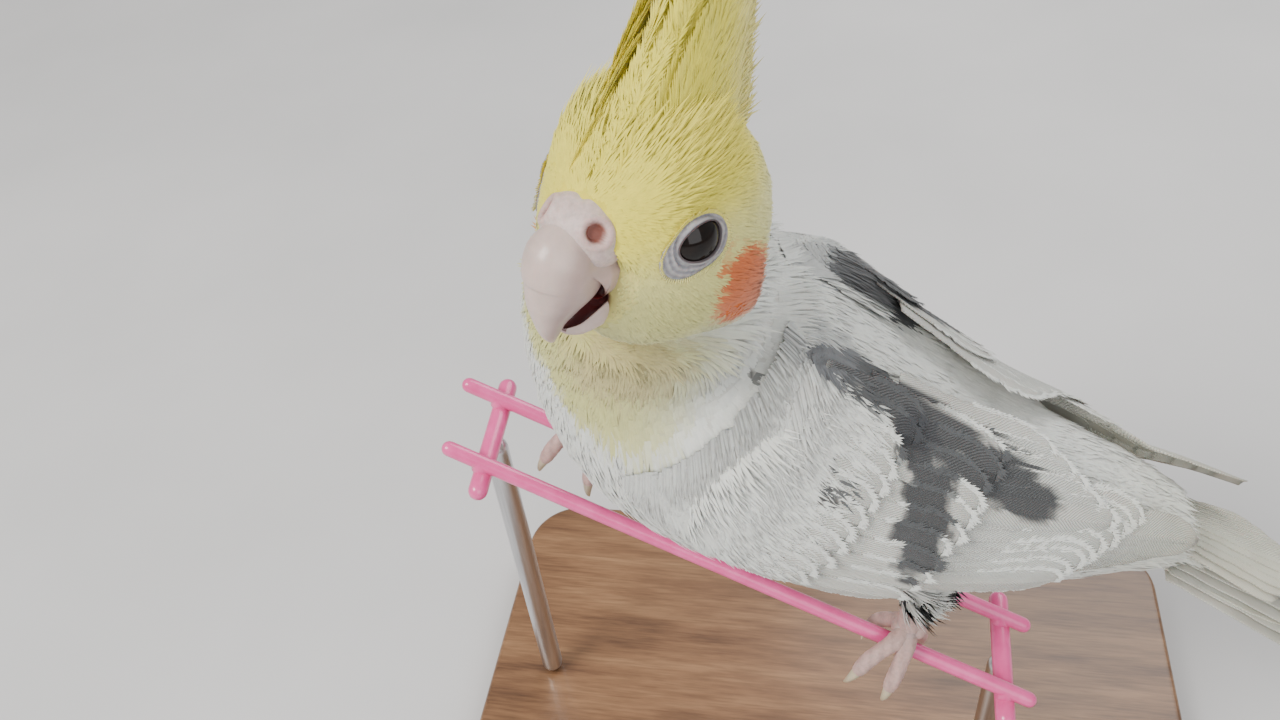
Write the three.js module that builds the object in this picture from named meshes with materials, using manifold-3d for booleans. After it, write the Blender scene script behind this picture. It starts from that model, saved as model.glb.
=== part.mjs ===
// A life-size cockatiel with a raised crest, gripping two bars of a short cut wire panel on a display stand.
// Millimetres, +Z up. The bird looks towards -Y with its head turned to its left (+X); the origin is the
// centre of the stand's underside.
import * as THREE from "three";
import { mergeVertices } from "three/addons/utils/BufferGeometryUtils.js";
import Module from "manifold-3d";

const wasm = await Module();
wasm.setup();

// Driving dimensions
const GAP = 0.3; // clearance between touching nodes
const BASE_TOP_DROP = 62; // stand top below the left foot's grip
const BASE_SIZE = { x: 118, y: 172, z: 10, corner: 14, bevel: 1.6 };
const BASE_CENTRE_Y = -12;
const ROD_RADIUS = 2.6;
const WIRE_RADIUS = 1.6;
const BAR_RADIUS = 2;
const HEAD_CUT = 0.8; // body station where the head meets the neck
const NECK_CUT = 2.4; // body station where the neck meets the torso
const TAIL_CUT = 9.8; // body station where the tail meets the torso
const BODY_SIDES = 28;
const HEAD_YAW = 60; // head turned to the bird's left
const HEAD_PITCH = 15; // bill raised
const HEAD_ROLL = 4; // left side lowered
const HEAD_CENTRE = new THREE.Vector3(18.5, -38.5, 103);

// Body stations from the neck to the tail: centre x, y, z, half-width, height to the back, depth to the belly
const BODY_STATIONS = [
  [16.5, -39, 99, 12, 12, 12],
  [10.5, -42, 86, 18.2, 17.6, 18.2],
  [5.5, -43.5, 74, 22.3, 20.3, 22],
  [2.8, -40, 64, 26.5, 23.6, 27.5],
  [2, -31.5, 54, 28.8, 25.5, 31],
  [2.4, -18, 45.5, 27.8, 24.5, 31],
  [2.8, -2, 38.5, 25, 20.5, 27],
  [3, 14, 33.5, 21, 15.5, 22],
  [2.4, 28, 29.5, 17, 12.5, 17],
  [1.5, 40, 25.5, 13, 9, 12.5],
  [0.6, 51, 20.5, 9.6, 6, 8],
  [0, 63, 14.2, 8.6, 3.6, 5],
  [0, 78, 6.2, 8.6, 3, 4],
];
// The surface that the folded wings lie on: the body, kept wide and high where the wing tips pass over the tail
const CARRIER_MIN_WIDTH = 11.5;
const CARRIER_MIN_HEIGHT = 8;

// Small vector and number helpers
const v3 = (x, y, z) => new THREE.Vector3(x, y, z);
const rad = THREE.MathUtils.degToRad;
const lerp = THREE.MathUtils.lerp;
const clamp = THREE.MathUtils.clamp;
const mix = (a, b, t) => a.clone().lerp(b, t);

// Smooth interpolation of rows of numbers at a fractional row
function sampleRows(rows, at) {
  const last = rows.length - 1;
  const i = clamp(Math.floor(at), 0, last - 1);
  const t = at - i;
  const row = (k) => rows[clamp(k, 0, last)];
  return row(i).map((_, c) => {
    const [a, b, d, e] = [row(i - 1)[c], row(i)[c], row(i + 1)[c], row(i + 2)[c]];
    const tangents = [(d - a) / 2, (e - b) / 2];
    const [t2, t3] = [t * t, t * t * t];
    return (
      (2 * t3 - 3 * t2 + 1) * b +
      (t3 - 2 * t2 + t) * tangents[0] +
      (3 * t2 - 2 * t3) * d +
      (t3 - t2) * tangents[1]
    );
  });
}

// Solids from geometries and back
function solid(geometry) {
  const bare = geometry.clone();
  bare.deleteAttribute("normal");
  bare.deleteAttribute("uv");
  const merged = mergeVertices(bare, 1e-4);
  const made = new wasm.Manifold(
    new wasm.Mesh({
      numProp: 3,
      vertProperties: new Float32Array(merged.attributes.position.array),
      triVerts: new Uint32Array(merged.index.array),
    }),
  );
  return made;
}

const fuse = (pieces) => pieces.reduce((a, b) => a.add(b));

// The largest closed surface of a solid
function largest(made) {
  const bodies = made.decompose();
  return bodies.reduce((a, b) => (b.volume() > a.volume() ? b : a));
}

function meshOf(name, made, colour, roughness, metalness = 0) {
  const { numProp, numVert, vertProperties, triVerts } = largest(made).getMesh();
  const positions = new Float32Array(numVert * 3);
  for (let i = 0; i < numVert; i++)
    positions.set(vertProperties.subarray(i * numProp, i * numProp + 3), i * 3);
  const geometry = new THREE.BufferGeometry();
  geometry.setAttribute("position", new THREE.BufferAttribute(positions, 3));
  geometry.setIndex(new THREE.BufferAttribute(new Uint32Array(triVerts), 1));
  geometry.computeVertexNormals();
  const material = new THREE.MeshStandardMaterial({ color: colour, roughness, metalness });
  const mesh = new THREE.Mesh(geometry, material);
  mesh.name = name;
  return mesh;
}

// A closed body through rings of points, with a fan at each end; the rings run anticlockwise seen from the last one
function loft(rings) {
  const n = rings[0].length;
  const centre = (ring) => ring.reduce((a, p) => a.add(p), v3(0, 0, 0)).divideScalar(n);
  const points = [...rings.flat(), centre(rings[0]), centre(rings.at(-1))];
  const [start, end] = [points.length - 2, points.length - 1];
  const faces = [];
  for (let r = 0; r < rings.length - 1; r++)
    for (let k = 0; k < n; k++) {
      const [a, b] = [r * n + k, r * n + ((k + 1) % n)];
      faces.push(a, b, b + n, a, b + n, a + n);
    }
  const lastRing = (rings.length - 1) * n;
  for (let k = 0; k < n; k++) {
    faces.push(start, (k + 1) % n, k);
    faces.push(end, lastRing + k, lastRing + ((k + 1) % n));
  }
  return outward(points, faces);
}

// A solid of points and faces, turned to face out
function outward(points, faces) {
  const geometry = new THREE.BufferGeometry().setFromPoints(points);
  let volume = 0;
  for (let i = 0; i < faces.length; i += 3) {
    const [a, b, c] = [points[faces[i]], points[faces[i + 1]], points[faces[i + 2]]];
    volume += a.dot(b.clone().cross(c));
  }
  if (volume < 0)
    for (let i = 0; i < faces.length; i += 3)
      [faces[i], faces[i + 1]] = [faces[i + 1], faces[i]];
  geometry.setIndex(faces);
  return solid(geometry);
}

// A thin closed plate: point(row, column, side) with side +1 on top and -1 below, split alike on both faces
function plate(rows, columns, point) {
  const points = [];
  for (const side of [1, -1])
    for (let r = 0; r <= rows; r++)
      for (let c = 0; c <= columns; c++) points.push(point(r / rows, c / columns, side));
  const wide = columns + 1;
  const under = (rows + 1) * wide;
  const faces = [];
  const quad = (a, b, c, d) => faces.push(a, b, c, a, c, d);
  for (let r = 0; r < rows; r++)
    for (let c = 0; c < columns; c++) {
      const a = r * wide + c;
      quad(a, a + 1, a + wide + 1, a + wide);
      faces.push(under + a, under + a + wide + 1, under + a + 1);
      faces.push(under + a, under + a + wide, under + a + wide + 1);
    }
  for (let r = 0; r < rows; r++) {
    const [a, b] = [r * wide, (r + 1) * wide];
    quad(a, b, under + b, under + a);
    quad(b + columns, a + columns, under + a + columns, under + b + columns);
  }
  for (let c = 0; c < columns; c++) {
    const [a, b] = [c, rows * wide + c];
    quad(a + 1, a, under + a, under + a + 1);
    quad(b, b + 1, under + b + 1, under + b);
  }
  return outward(points, faces);
}

// A round tube along points with a radius at each, closed with rounded ends
function tube(points, radii, sides = 10) {
  const rings = [];
  let across = null;
  points.forEach((p, i) => {
    const before = points[Math.max(i - 1, 0)];
    const after = points[Math.min(i + 1, points.length - 1)];
    const along = after.clone().sub(before).normalize();
    if (!across) {
      const seed = Math.abs(along.z) < 0.8 ? v3(0, 0, 1) : v3(1, 0, 0);
      across = seed.cross(along).normalize();
    }
    across = across.sub(along.clone().multiplyScalar(across.dot(along))).normalize();
    const other = along.clone().cross(across);
    const ring = (radius, shift) =>
      Array.from({ length: sides }, (_, k) => {
        const turn = (2 * Math.PI * k) / sides;
        return p
          .clone()
          .addScaledVector(along, shift)
          .addScaledVector(across, radius * Math.cos(turn))
          .addScaledVector(other, radius * Math.sin(turn));
      });
    if (i === 0) rings.push(ring(radii[0] * 0.6, -radii[0] * 0.7));
    rings.push(ring(radii[i], 0));
    if (i === points.length - 1) rings.push(ring(radii[i] * 0.6, radii[i] * 0.7));
  });
  return loft(rings);
}

const curvePoints = (controls, count) =>
  new THREE.CatmullRomCurve3(controls, false, "centripetal").getPoints(count);

// A large box used to cut with a plane: it fills the side that the normal points to
function halfSpace(point, normal) {
  const size = 400;
  const box = new THREE.BoxGeometry(size, size, size).translate(0, 0, size / 2);
  box.applyQuaternion(new THREE.Quaternion().setFromUnitVectors(v3(0, 0, 1), normal));
  box.translate(point.x, point.y, point.z);
  return solid(box);
}

// The body's centre line and cross-sections
function bodyFrame(at) {
  const [x, y, z, width, back, belly] = sampleRows(BODY_STATIONS, at);
  const step = 0.05;
  const [ax, ay, az] = sampleRows(BODY_STATIONS, at - step);
  const [bx, by, bz] = sampleRows(BODY_STATIONS, at + step);
  const along = v3(bx - ax, by - ay, bz - az).normalize();
  const side = v3(1, 0, 0).addScaledVector(along, -along.x).normalize();
  const up = side.clone().cross(along).normalize();
  return { centre: v3(x, y, z), along, side, up, width, back, belly };
}

// A point of the body's surface: turn 0 is the middle of the back and 90 the left side
function bodyPoint(at, turn, grow = 0) {
  const f = bodyFrame(at);
  const angle = rad(turn);
  const height = Math.cos(angle) > 0 ? f.back : f.belly;
  return f.centre
    .clone()
    .addScaledVector(f.side, (f.width + grow) * Math.sin(angle))
    .addScaledVector(f.up, (height + grow) * Math.cos(angle));
}

function bodyLoft(from, to, rows, grow = 0) {
  const rings = [];
  for (let r = 0; r <= rows; r++) {
    const at = lerp(from, to, r / rows);
    rings.push(
      Array.from({ length: BODY_SIDES }, (_, k) => bodyPoint(at, (360 * k) / BODY_SIDES, grow)),
    );
  }
  return loft(rings);
}

// The surface that a folded wing lies on, at a height over the body
function carrierPoint(at, turn, height, hand) {
  const f = bodyFrame(at);
  const angle = rad(turn);
  const width = Math.max(f.width, CARRIER_MIN_WIDTH);
  const tall = Math.max(Math.cos(angle) > 0 ? f.back : f.belly, CARRIER_MIN_HEIGHT);
  const round = v3(0, 0, 0)
    .addScaledVector(f.side, Math.sin(angle) / width)
    .addScaledVector(f.up, Math.cos(angle) / tall)
    .normalize();
  return f.centre
    .clone()
    .addScaledVector(f.side, width * Math.sin(angle) * hand)
    .addScaledVector(f.up, tall * Math.cos(angle))
    .add(v3(round.x * hand, round.y, round.z).multiplyScalar(height));
}

// The head's own frame: f forwards, u up, l to the left
const headTurn = new THREE.Matrix4().makeRotationZ(rad(HEAD_YAW));
headTurn.multiply(new THREE.Matrix4().makeRotationX(rad(-HEAD_PITCH)));
headTurn.multiply(new THREE.Matrix4().makeRotationY(rad(HEAD_ROLL)));
const headPoint = (f, u, l) => v3(l, -f, u).applyMatrix4(headTurn).add(HEAD_CENTRE);
const headWay = (f, u, l) => v3(l, -f, u).applyMatrix4(headTurn).normalize();

// Head sections from the nape to the face: place along f, centre u, half-height, half-width
const HEAD_STATIONS = [
  [-19.2, -2.5, 3.5, 3.2],
  [-17.6, -2, 8.5, 7.8],
  [-13.5, -1, 13.4, 12],
  [-8, -1.6, 17.2, 15],
  [-2, -1.4, 18.4, 16],
  [4, -1.4, 18, 15.4],
  [9, -1.4, 15.8, 13.4],
  [13, -1.4, 12.2, 10.4],
  [16, -2.4, 9, 7.4],
  [17.6, -3, 5.5, 4.4],
];
const HEAD_SIDES = 22;
const HEAD_ROWS = 13;

function headLoft(grow = 0) {
  const rings = [];
  for (let r = 0; r <= HEAD_ROWS; r++) {
    const at = ((HEAD_STATIONS.length - 1) * r) / HEAD_ROWS;
    const [f, u, tall, wide] = sampleRows(HEAD_STATIONS, at);
    rings.push(
      Array.from({ length: HEAD_SIDES }, (_, k) => {
        const turn = (2 * Math.PI * k) / HEAD_SIDES;
        return headPoint(f, u + (tall + grow) * Math.cos(turn), (wide + grow) * Math.sin(turn));
      }),
    );
  }
  return loft(rings);
}

function headBall(f, u, l, radii, detail = [16, 12]) {
  const ball = new THREE.SphereGeometry(1, detail[0], detail[1]);
  ball.scale(radii[2], radii[0], radii[1]);
  ball.applyMatrix4(headTurn);
  const at = headPoint(f, u, l);
  return solid(ball.translate(at.x, at.y, at.z));
}

// Bill sections from the face to the tip: f, u, half-depth, half-width, all square to the bill's own curve
const UPPER_BILL = [
  [11, -0.5, 5.4, 5.9],
  [15.2, -0.1, 5.8, 5.8],
  [18.3, -1.8, 5.2, 5],
  [20, -4.7, 4.2, 4.1],
  [20.6, -7.7, 3.2, 3.1],
  [20.2, -10.5, 2.2, 2.1],
  [19.3, -12.7, 1.3, 1.2],
  [18.4, -14.2, 0.4, 0.4],
];
const LOWER_BILL = [
  [7, -8.4, 2.5, 4.8],
  [11, -9.8, 2.5, 4.9],
  [14.2, -11.1, 2.1, 4.4],
  [16.2, -12.2, 1.6, 3.3],
  [17.3, -12.5, 0.9, 1.9],
];

// Towards the mouth the sides of the bill run straight to an edge
function squared(share, towardsMouth) {
  return towardsMouth ? Math.sign(share) * Math.abs(share) ** 0.6 : share;
}

function bill(stations, flatSide, rows, sides, grow = 0) {
  const rings = [];
  for (let r = 0; r <= rows; r++) {
    const at = ((stations.length - 1) * r) / rows;
    const [place, u, deep, wide] = sampleRows(stations, at);
    const f = r ? place : place - grow;
    const [fa, ua] = sampleRows(stations, at - 0.1);
    const [fb, ub] = sampleRows(stations, at + 0.1);
    const length = Math.hypot(fb - fa, ub - ua);
    const [sf, su] = [-(ub - ua) / length, (fb - fa) / length];
    rings.push(
      Array.from({ length: sides }, (_, k) => {
        const turn = (2 * Math.PI * k) / sides;
        const c = (deep + grow) * squared(Math.cos(turn), Math.cos(turn) * flatSide > 0);
        const s = (wide + grow) * squared(Math.sin(turn), Math.cos(turn) * flatSide > 0);
        return headPoint(f + sf * c, u + su * c, s);
      }),
    );
  }
  return loft(rings);
}

const EYE = { f: 6, u: 3, l: 10.9, radius: 4.4, lidRadius: 3.8, lidTube: 0.7 };
const NOSTRIL = { f: 16.6, u: 4.3, l: 4.6, radius: 1.45, depth: 2.6 };
const CERE = { f: 14.4, u: 2.4, radii: [5.2, 5.9, 6.4] };
const MOUTH = { f: 14, u: -7.2, radii: [5, 1.5, 4.3] };
const TONGUE = { f: 14.2, u: -6.9, radii: [3.2, 0.8, 2] };
const CREST_ROOT = { f: -0.5, u: 12.4, radii: [12.8, 5.3, 7.6] };

function eyeSolid(hand, grow = 0) {
  const r = EYE.radius + grow;
  return headBall(EYE.f, EYE.u, EYE.l * hand, [r, r, r], [12, 8]);
}

function lidRing(hand) {
  const ring = new THREE.TorusGeometry(EYE.lidRadius, EYE.lidTube, 5, 14);
  const out = headWay(0.28, 0.08, 0.95 * hand);
  ring.scale(1.08, 1, 1);
  ring.applyQuaternion(new THREE.Quaternion().setFromUnitVectors(v3(0, 0, 1), out));
  const at = headPoint(EYE.f, EYE.u, EYE.l * hand).addScaledVector(out, EYE.radius * 0.66);
  return solid(ring.translate(at.x, at.y, at.z));
}

function nostrilHole(hand) {
  const hole = new THREE.CylinderGeometry(NOSTRIL.radius, NOSTRIL.radius, NOSTRIL.depth * 2, 12);
  const out = headWay(0.35, 0.55, 0.75 * hand);
  hole.applyQuaternion(new THREE.Quaternion().setFromUnitVectors(v3(0, 1, 0), out));
  const at = headPoint(NOSTRIL.f, NOSTRIL.u, NOSTRIL.l * hand);
  return solid(hole.translate(at.x, at.y, at.z));
}

// Crest feathers in three files along the crown: root place, length and lean
const CREST = { files: 3, perFile: 4, halfWidth: 4.7, thickness: 0.7, rootDepth: 4 };

function crestFeather(file, k) {
  const t = k / (CREST.perFile - 1);
  const aside = file - 1;
  const rootF = lerp(13.5, -11, t) + (aside ? -1.6 : 0);
  const rootL = aside * lerp(4.2, 5.8, Math.sin(Math.PI * t)) + (k % 2 ? 0.55 : -0.55);
  const rootU = 16.4 - 0.045 * (rootF + 1) ** 2 - 0.035 * rootL ** 2 - CREST.rootDepth;
  const length = CREST.rootDepth + lerp(17, 47, Math.sin(Math.PI * 0.5 * Math.min(1, t * 1.45))) - 9 * t;
  const lean = lerp(25, 2, t) + (aside ? 1 : 0);
  const curl = lerp(4, 7, t);
  const inward = -aside * lerp(4, 6, t);
  const width = CREST.halfWidth * lerp(1, 1.25, t);
  const spine = (s) => {
    const angle = rad(lean + curl * s * s);
    return {
      f: rootF - Math.sin(angle) * length * s,
      u: rootU + Math.cos(angle) * length * s,
      l: rootL + length * s * Math.sin(rad(inward)),
    };
  };
  return plate(4, 1, (row, column, side) => {
    const p = spine(row);
    const spread = width * Math.sqrt(Math.max(0.02, 1 - Math.max(0, row - 0.45) ** 2 * 3.1));
    const across = (column - 0.5) * 2 * spread;
    const angle = rad(lean + curl * row);
    const twist = rad(90 - 34 * aside * (1 - row * 0.6) - (aside ? 0 : 8));
    const out = (side * CREST.thickness) / 2;
    const [ca, sa] = [Math.cos(twist), Math.sin(twist)];
    const alongFace = across * sa - out * ca;
    return headPoint(
      p.f + alongFace * Math.cos(angle),
      p.u + alongFace * Math.sin(angle),
      p.l + across * ca + out * sa,
    );
  });
}

// Wing core: edges in degrees from the back's middle, and thickness, along body stations
const WING_CORE = [
  [3.35, 52, 84, 1.6],
  [3.7, 40, 99, 3.2],
  [4.2, 30, 107, 4.2],
  [4.9, 22, 111, 4.2],
  [5.6, 17, 109, 3.5],
  [6.3, 17, 103, 2.7],
  [7, 22, 95, 2],
  [7.7, 34, 84, 1.5],
];
const WING_CLEAR = 0.5; // wing underside over the body
const CORE_EDGE = 0.9;
const VANE_THICKNESS = 0.62;

function wingCore(hand) {
  return plate(9, 6, (row, column, side) => {
    const [at, top, bottom, thick] = sampleRows(WING_CORE, row * (WING_CORE.length - 1));
    const round = Math.sqrt(Math.max(0, 1 - (2 * column - 1) ** 2));
    const height = side < 0 ? WING_CLEAR : WING_CLEAR + lerp(CORE_EDGE, thick, round);
    return carrierPoint(at, lerp(top, bottom, column), height, hand);
  });
}

// Tiers of wing vanes, each from the innermost to the outermost: places of root and tip on the carrier,
// in stations and degrees, half-width and height over the body
const WING_REACH = [9.7, 11]; // body stations where the left and right wing tips end
const WING_TIERS = [
  {
    name: "primaries",
    count: 4,
    root: [[6.6, 82], [6.9, 58]],
    tip: [[8.7, 74], ["reach", 50]],
    half: [4.6, 4.2],
    height: [1, 2.6],
    rise: 0.2,
  },
  {
    name: "secondaries",
    count: 4,
    root: [[5.9, 95], [6.3, 48]],
    tip: [[7.8, 88], [8.7, 44]],
    half: [4.9, 5],
    height: [2.3, 2.5],
    rise: 0.4,
  },
  {
    name: "tertials",
    count: 3,
    root: [[5.3, 50], [5.4, 22]],
    tip: [[8.3, 48], [7.4, 21]],
    half: [4.9, 4.6],
    height: [3, 3.1],
    rise: 0.4,
  },
  {
    name: "greater_coverts",
    count: 5,
    root: [[4.9, 98], [5, 28]],
    tip: [[6.3, 101], [6.8, 31]],
    half: [5.3, 5.3],
    height: [3.4, 3.5],
    rise: 0.5,
  },
  {
    name: "median_coverts",
    count: 5,
    root: [[4.05, 92], [4.1, 36]],
    tip: [[5.25, 98], [5.45, 32]],
    half: [5.1, 5.1],
    height: [3.9, 3.9],
    rise: 0.55,
  },
];
const VANE_ROWS = 3;
const VANE_TILT = 0.72; // one edge of each vane rides up over its neighbour

// Half-width along a vane, from the quill to the rounded tip
const vaneWidth = (t) => (t < 0.75 ? lerp(0.72, 1, t / 0.75) : Math.sqrt(1 - ((t - 0.75) / 0.262) ** 2));

function wingVane(tier, k, hand, reach) {
  const t = k / (tier.count - 1);
  const pair = (ends) => ends[0].map((a, i) => lerp(a, ends[1][i] === "reach" ? reach : ends[1][i], t));
  const [rootAt, rootTurn] = pair(tier.root);
  const [tipAt, tipTurn] = pair(tier.tip);
  const half = lerp(tier.half[0], tier.half[1], t);
  const low = lerp(tier.height[0], tier.height[1], t);
  return plate(VANE_ROWS, 1, (row, column, side) => {
    const at = lerp(rootAt, tipAt, row);
    const turn = lerp(rootTurn, tipTurn, row ** 1.2);
    const girth = Math.max(bodyFrame(at).width, CARRIER_MIN_WIDTH);
    const across = (column - 0.5) * 2;
    const spread = THREE.MathUtils.radToDeg((half * vaneWidth(row)) / girth);
    const height = low + tier.rise * row - VANE_TILT * across * (0.5 + 0.5 * row);
    return carrierPoint(at, turn + spread * across, height + (side * VANE_THICKNESS) / 2, hand);
  });
}

function wing(hand, reach) {
  const pieces = [wingCore(hand)];
  for (const tier of WING_TIERS)
    for (let k = 0; k < tier.count; k++) pieces.push(wingVane(tier, k, hand, reach));
  return fuse(pieces);
}

// Tail: a short root under the coverts, six pairs of graduated vanes and the covert vanes over and under them
const TAIL = {
  drop: 28,
  length: 150,
  pairs: 6,
  coverts: 4,
  layer: 1.2,
  thickness: 0.55,
  graduation: [0, 3, 26, 42, 54, 64],
  half: [4.6, 5.2, 5.6, 5.6, 5.4, 5],
};
const tailRoot = bodyFrame(TAIL_CUT).centre;
const tailAlong = v3(0, Math.cos(rad(TAIL.drop)), -Math.sin(rad(TAIL.drop)));
const tailUp = v3(0, Math.sin(rad(TAIL.drop)), Math.cos(rad(TAIL.drop)));
const tailPoint = (along, aside, up) =>
  tailRoot
    .clone()
    .addScaledVector(tailAlong, along)
    .addScaledVector(tailUp, up)
    .add(v3(aside, 0, 0));

function tailVane(pair, hand) {
  const length = TAIL.length - TAIL.graduation[pair];
  const splay = rad(0.6 + pair * 1.15) * hand;
  const start = 5;
  const low = 0.4 - pair * TAIL.layer - (hand < 0 ? TAIL.layer / 2 : 0);
  return plate(4, 1, (row, column, side) => {
    const along = lerp(start, length, row);
    const across = (column - 0.5) * 2;
    const taper = row < 0.55 ? lerp(0.55, 1, row / 0.55) : lerp(1, 0.12, ((row - 0.55) / 0.45) ** 1.7);
    const spread = TAIL.half[pair] * taper;
    const middle = hand * (0.8 + pair * 0.9) + along * Math.sin(splay);
    const droop = 1.6 * row * row * (pair === 0 ? 0.6 : 1);
    return tailPoint(along, middle + spread * across, low - droop + (side * TAIL.thickness) / 2);
  });
}

function tailCovert(k, count, over) {
  const aside = lerp(-1, 1, k / (count - 1));
  const length = over ? 34 - 9 * Math.abs(aside) : 40 - 8 * Math.abs(aside);
  const half = 4.4;
  const lift = over ? 3.1 - 1.5 * aside * aside : -6.6 + 1.8 * aside * aside;
  return plate(3, 1, (row, column, side) => {
    const along = lerp(3, length, row);
    const across = (column - 0.5) * 2;
    const middle = aside * lerp(4.5, 7.5, row);
    const close = over ? -0.9 * row : 0.6 * row;
    const tilt = 0.35 * across * Math.sign(aside) * (over ? -1 : 1);
    const up = lift + close + tilt + (side * VANE_THICKNESS) / 2;
    return tailPoint(along, middle + half * vaneWidth(row) * across, up);
  });
}

function tail() {
  const rootRows = 3;
  const rings = [];
  for (let r = 0; r <= rootRows; r++) {
    const t = r / rootRows;
    const [wide, over, under] = [lerp(10.6, 7, t), lerp(5.8, 1.8, t), lerp(7.6, 6, t)];
    rings.push(
      Array.from({ length: 18 }, (_, k) => {
        const turn = (2 * Math.PI * k) / 18;
        const tall = Math.cos(turn) > 0 ? over : under;
        return tailPoint(GAP + 17 * t, wide * Math.sin(turn), tall * Math.cos(turn));
      }),
    );
  }
  const pieces = [loft(rings)];
  for (let pair = 0; pair < TAIL.pairs; pair++)
    for (const hand of [1, -1]) pieces.push(tailVane(pair, hand));
  for (let k = 0; k < TAIL.coverts; k++)
    for (const over of [true, false]) pieces.push(tailCovert(k, TAIL.coverts, over));
  return fuse(pieces);
}

// Perch: two bars of a wire panel that falls towards the tail, with a cross bar near each end
const WIRE_WAY = v3(0.125, 0.92, -0.372).normalize();
const WIRE_NEAR = v3(15, 0, -4.2); // bar under the left foot
const WIRE_FAR = v3(-1.5, 0, -2.4); // bar under the right foot
const WIRE_REACH = [-96, 32];
const CROSS_BARS = [-89, 27];
const CROSS_OVERHANG = 5;
const CROSS_SINK = 1.6; // a cross bar lies under the bars, welded to them

const wirePoint = (root, along) => root.clone().addScaledVector(WIRE_WAY, along);

function crossEnds(along) {
  const near = wirePoint(WIRE_NEAR, along);
  const far = wirePoint(WIRE_FAR, along);
  const way = near.clone().sub(far).normalize();
  const down = v3(0, 0, -1).addScaledVector(way, way.z).normalize().multiplyScalar(CROSS_SINK * 1.7);
  near.addScaledVector(way, CROSS_OVERHANG).add(down);
  far.addScaledVector(way, -CROSS_OVERHANG).add(down);
  return [far, near];
}

function perch() {
  const pieces = [WIRE_NEAR, WIRE_FAR].map((root) => {
    const points = [0, 1].map((t) => wirePoint(root, lerp(WIRE_REACH[0], WIRE_REACH[1], t)));
    return tube(points, points.map(() => WIRE_RADIUS), 9);
  });
  for (const along of CROSS_BARS)
    pieces.push(tube(crossEnds(along), [BAR_RADIUS, BAR_RADIUS], 9));
  return fuse(pieces);
}

// Stand: a flat base and two rods up to the cross bars
const floorZ = -BASE_TOP_DROP - BASE_SIZE.z;

function standBase() {
  const { x, y, z, corner, bevel } = BASE_SIZE;
  const [hx, hy] = [x / 2 - bevel, y / 2 - bevel];
  const shape = new THREE.Shape();
  shape.moveTo(-hx + corner, -hy);
  shape.lineTo(hx - corner, -hy);
  shape.absarc(hx - corner, -hy + corner, corner, -Math.PI / 2, 0);
  shape.absarc(hx - corner, hy - corner, corner, 0, Math.PI / 2);
  shape.absarc(-hx + corner, hy - corner, corner, Math.PI / 2, Math.PI);
  shape.absarc(-hx + corner, -hy + corner, corner, Math.PI, Math.PI * 1.5);
  const body = new THREE.ExtrudeGeometry(shape, {
    depth: z - 2 * bevel,
    bevelThickness: bevel,
    bevelSize: bevel,
    bevelSegments: 1,
    curveSegments: 5,
  });
  return solid(body.translate(0, BASE_CENTRE_Y, floorZ + bevel));
}

function standRod(along) {
  const [far, near] = crossEnds(along);
  const top = mix(far, near, 0.5);
  const bottom = -BASE_TOP_DROP + GAP;
  const height = top.z - bottom;
  const rod = new THREE.CylinderGeometry(ROD_RADIUS, ROD_RADIUS, height, 14);
  rod.rotateX(Math.PI / 2).translate(top.x, top.y, bottom + height / 2);
  const groove = tube([far, near], [BAR_RADIUS + GAP, BAR_RADIUS + GAP], 9);
  return solid(rod).subtract(groove);
}

// Feet: toes wrap over a bar from a pad on top of it
const TOE = { radius: 1.9, wrap: WIRE_RADIUS + GAP + 1.95, claw: 6.5 };

// A toe's centre line: out from the pad, over the bar and down its far side
function toeLine(root, along, toeWay) {
  const grip = wirePoint(root, along);
  const { side, slide, reach, tuck, lift } = toeWay;
  const across = v3(1, 0, 0).addScaledVector(WIRE_WAY, -WIRE_WAY.x).normalize().multiplyScalar(side);
  const up = WIRE_WAY.clone().cross(across).normalize();
  if (up.z < 0) up.negate();
  const place = (turn, out, shift) =>
    grip
      .clone()
      .addScaledVector(up, Math.cos(rad(turn)) * out)
      .addScaledVector(across, Math.sin(rad(turn)) * out)
      .addScaledVector(WIRE_WAY, shift);
  const w = TOE.wrap;
  return [
    place(-8, w + 0.9, 0),
    place(38, w + 0.35 + lift, slide * 0.35),
    place(78, w + 0.3 + lift, slide * 0.62),
    place(108, w + 1 + reach * 0.35 + lift, slide * 0.85),
    place(128 + tuck, w + 2 + reach, slide),
  ];
}

const TOES_LEFT = [
  { side: 1, slide: -5.5, reach: 2.2, tuck: -4, lift: 0 },
  { side: 1, slide: 1.6, reach: 2.8, tuck: -2, lift: 0 },
  { side: -1, slide: -4, reach: 1.8, tuck: 0, lift: 0 },
  { side: -1, slide: 6.2, reach: 2.6, tuck: 0, lift: 0 },
];
const FOOT_LEFT = {
  root: WIRE_NEAR,
  along: 3,
  toes: TOES_LEFT,
  ankle: v3(12, 6, 14),
  hip: v3(11, 2, 27),
  shank: [2.2, 2.3, 2.6],
};
const FOOT_RIGHT = {
  root: WIRE_FAR,
  along: -71,
  toes: TOES_LEFT.map((toe) => ({ ...toe, side: -toe.side })),
  ankle: v3(-11.5, -52, 33.5),
  hip: v3(-12, -38, 40),
  shank: [2.2, 2.3, 2.6],
};

function toeTube(line) {
  const points = curvePoints(line, 5);
  const radii = points.map((_, i) => lerp(TOE.radius * 1.08, TOE.radius * 0.72, i / (points.length - 1)));
  return tube(points, radii, 6);
}

function foot({ root, along, toes, ankle, shank }) {
  const pad = toeLine(root, along, toes[0])[0];
  const pieces = toes.map((toe) => toeTube(toeLine(root, along, toe)));
  pieces.push(tube([pad, mix(pad, ankle, 0.5), ankle], shank, 10));
  const heel = new THREE.SphereGeometry(2.7, 9, 6).translate(pad.x, pad.y, pad.z + 0.5);
  pieces.push(solid(heel));
  return fuse(pieces);
}

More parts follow.
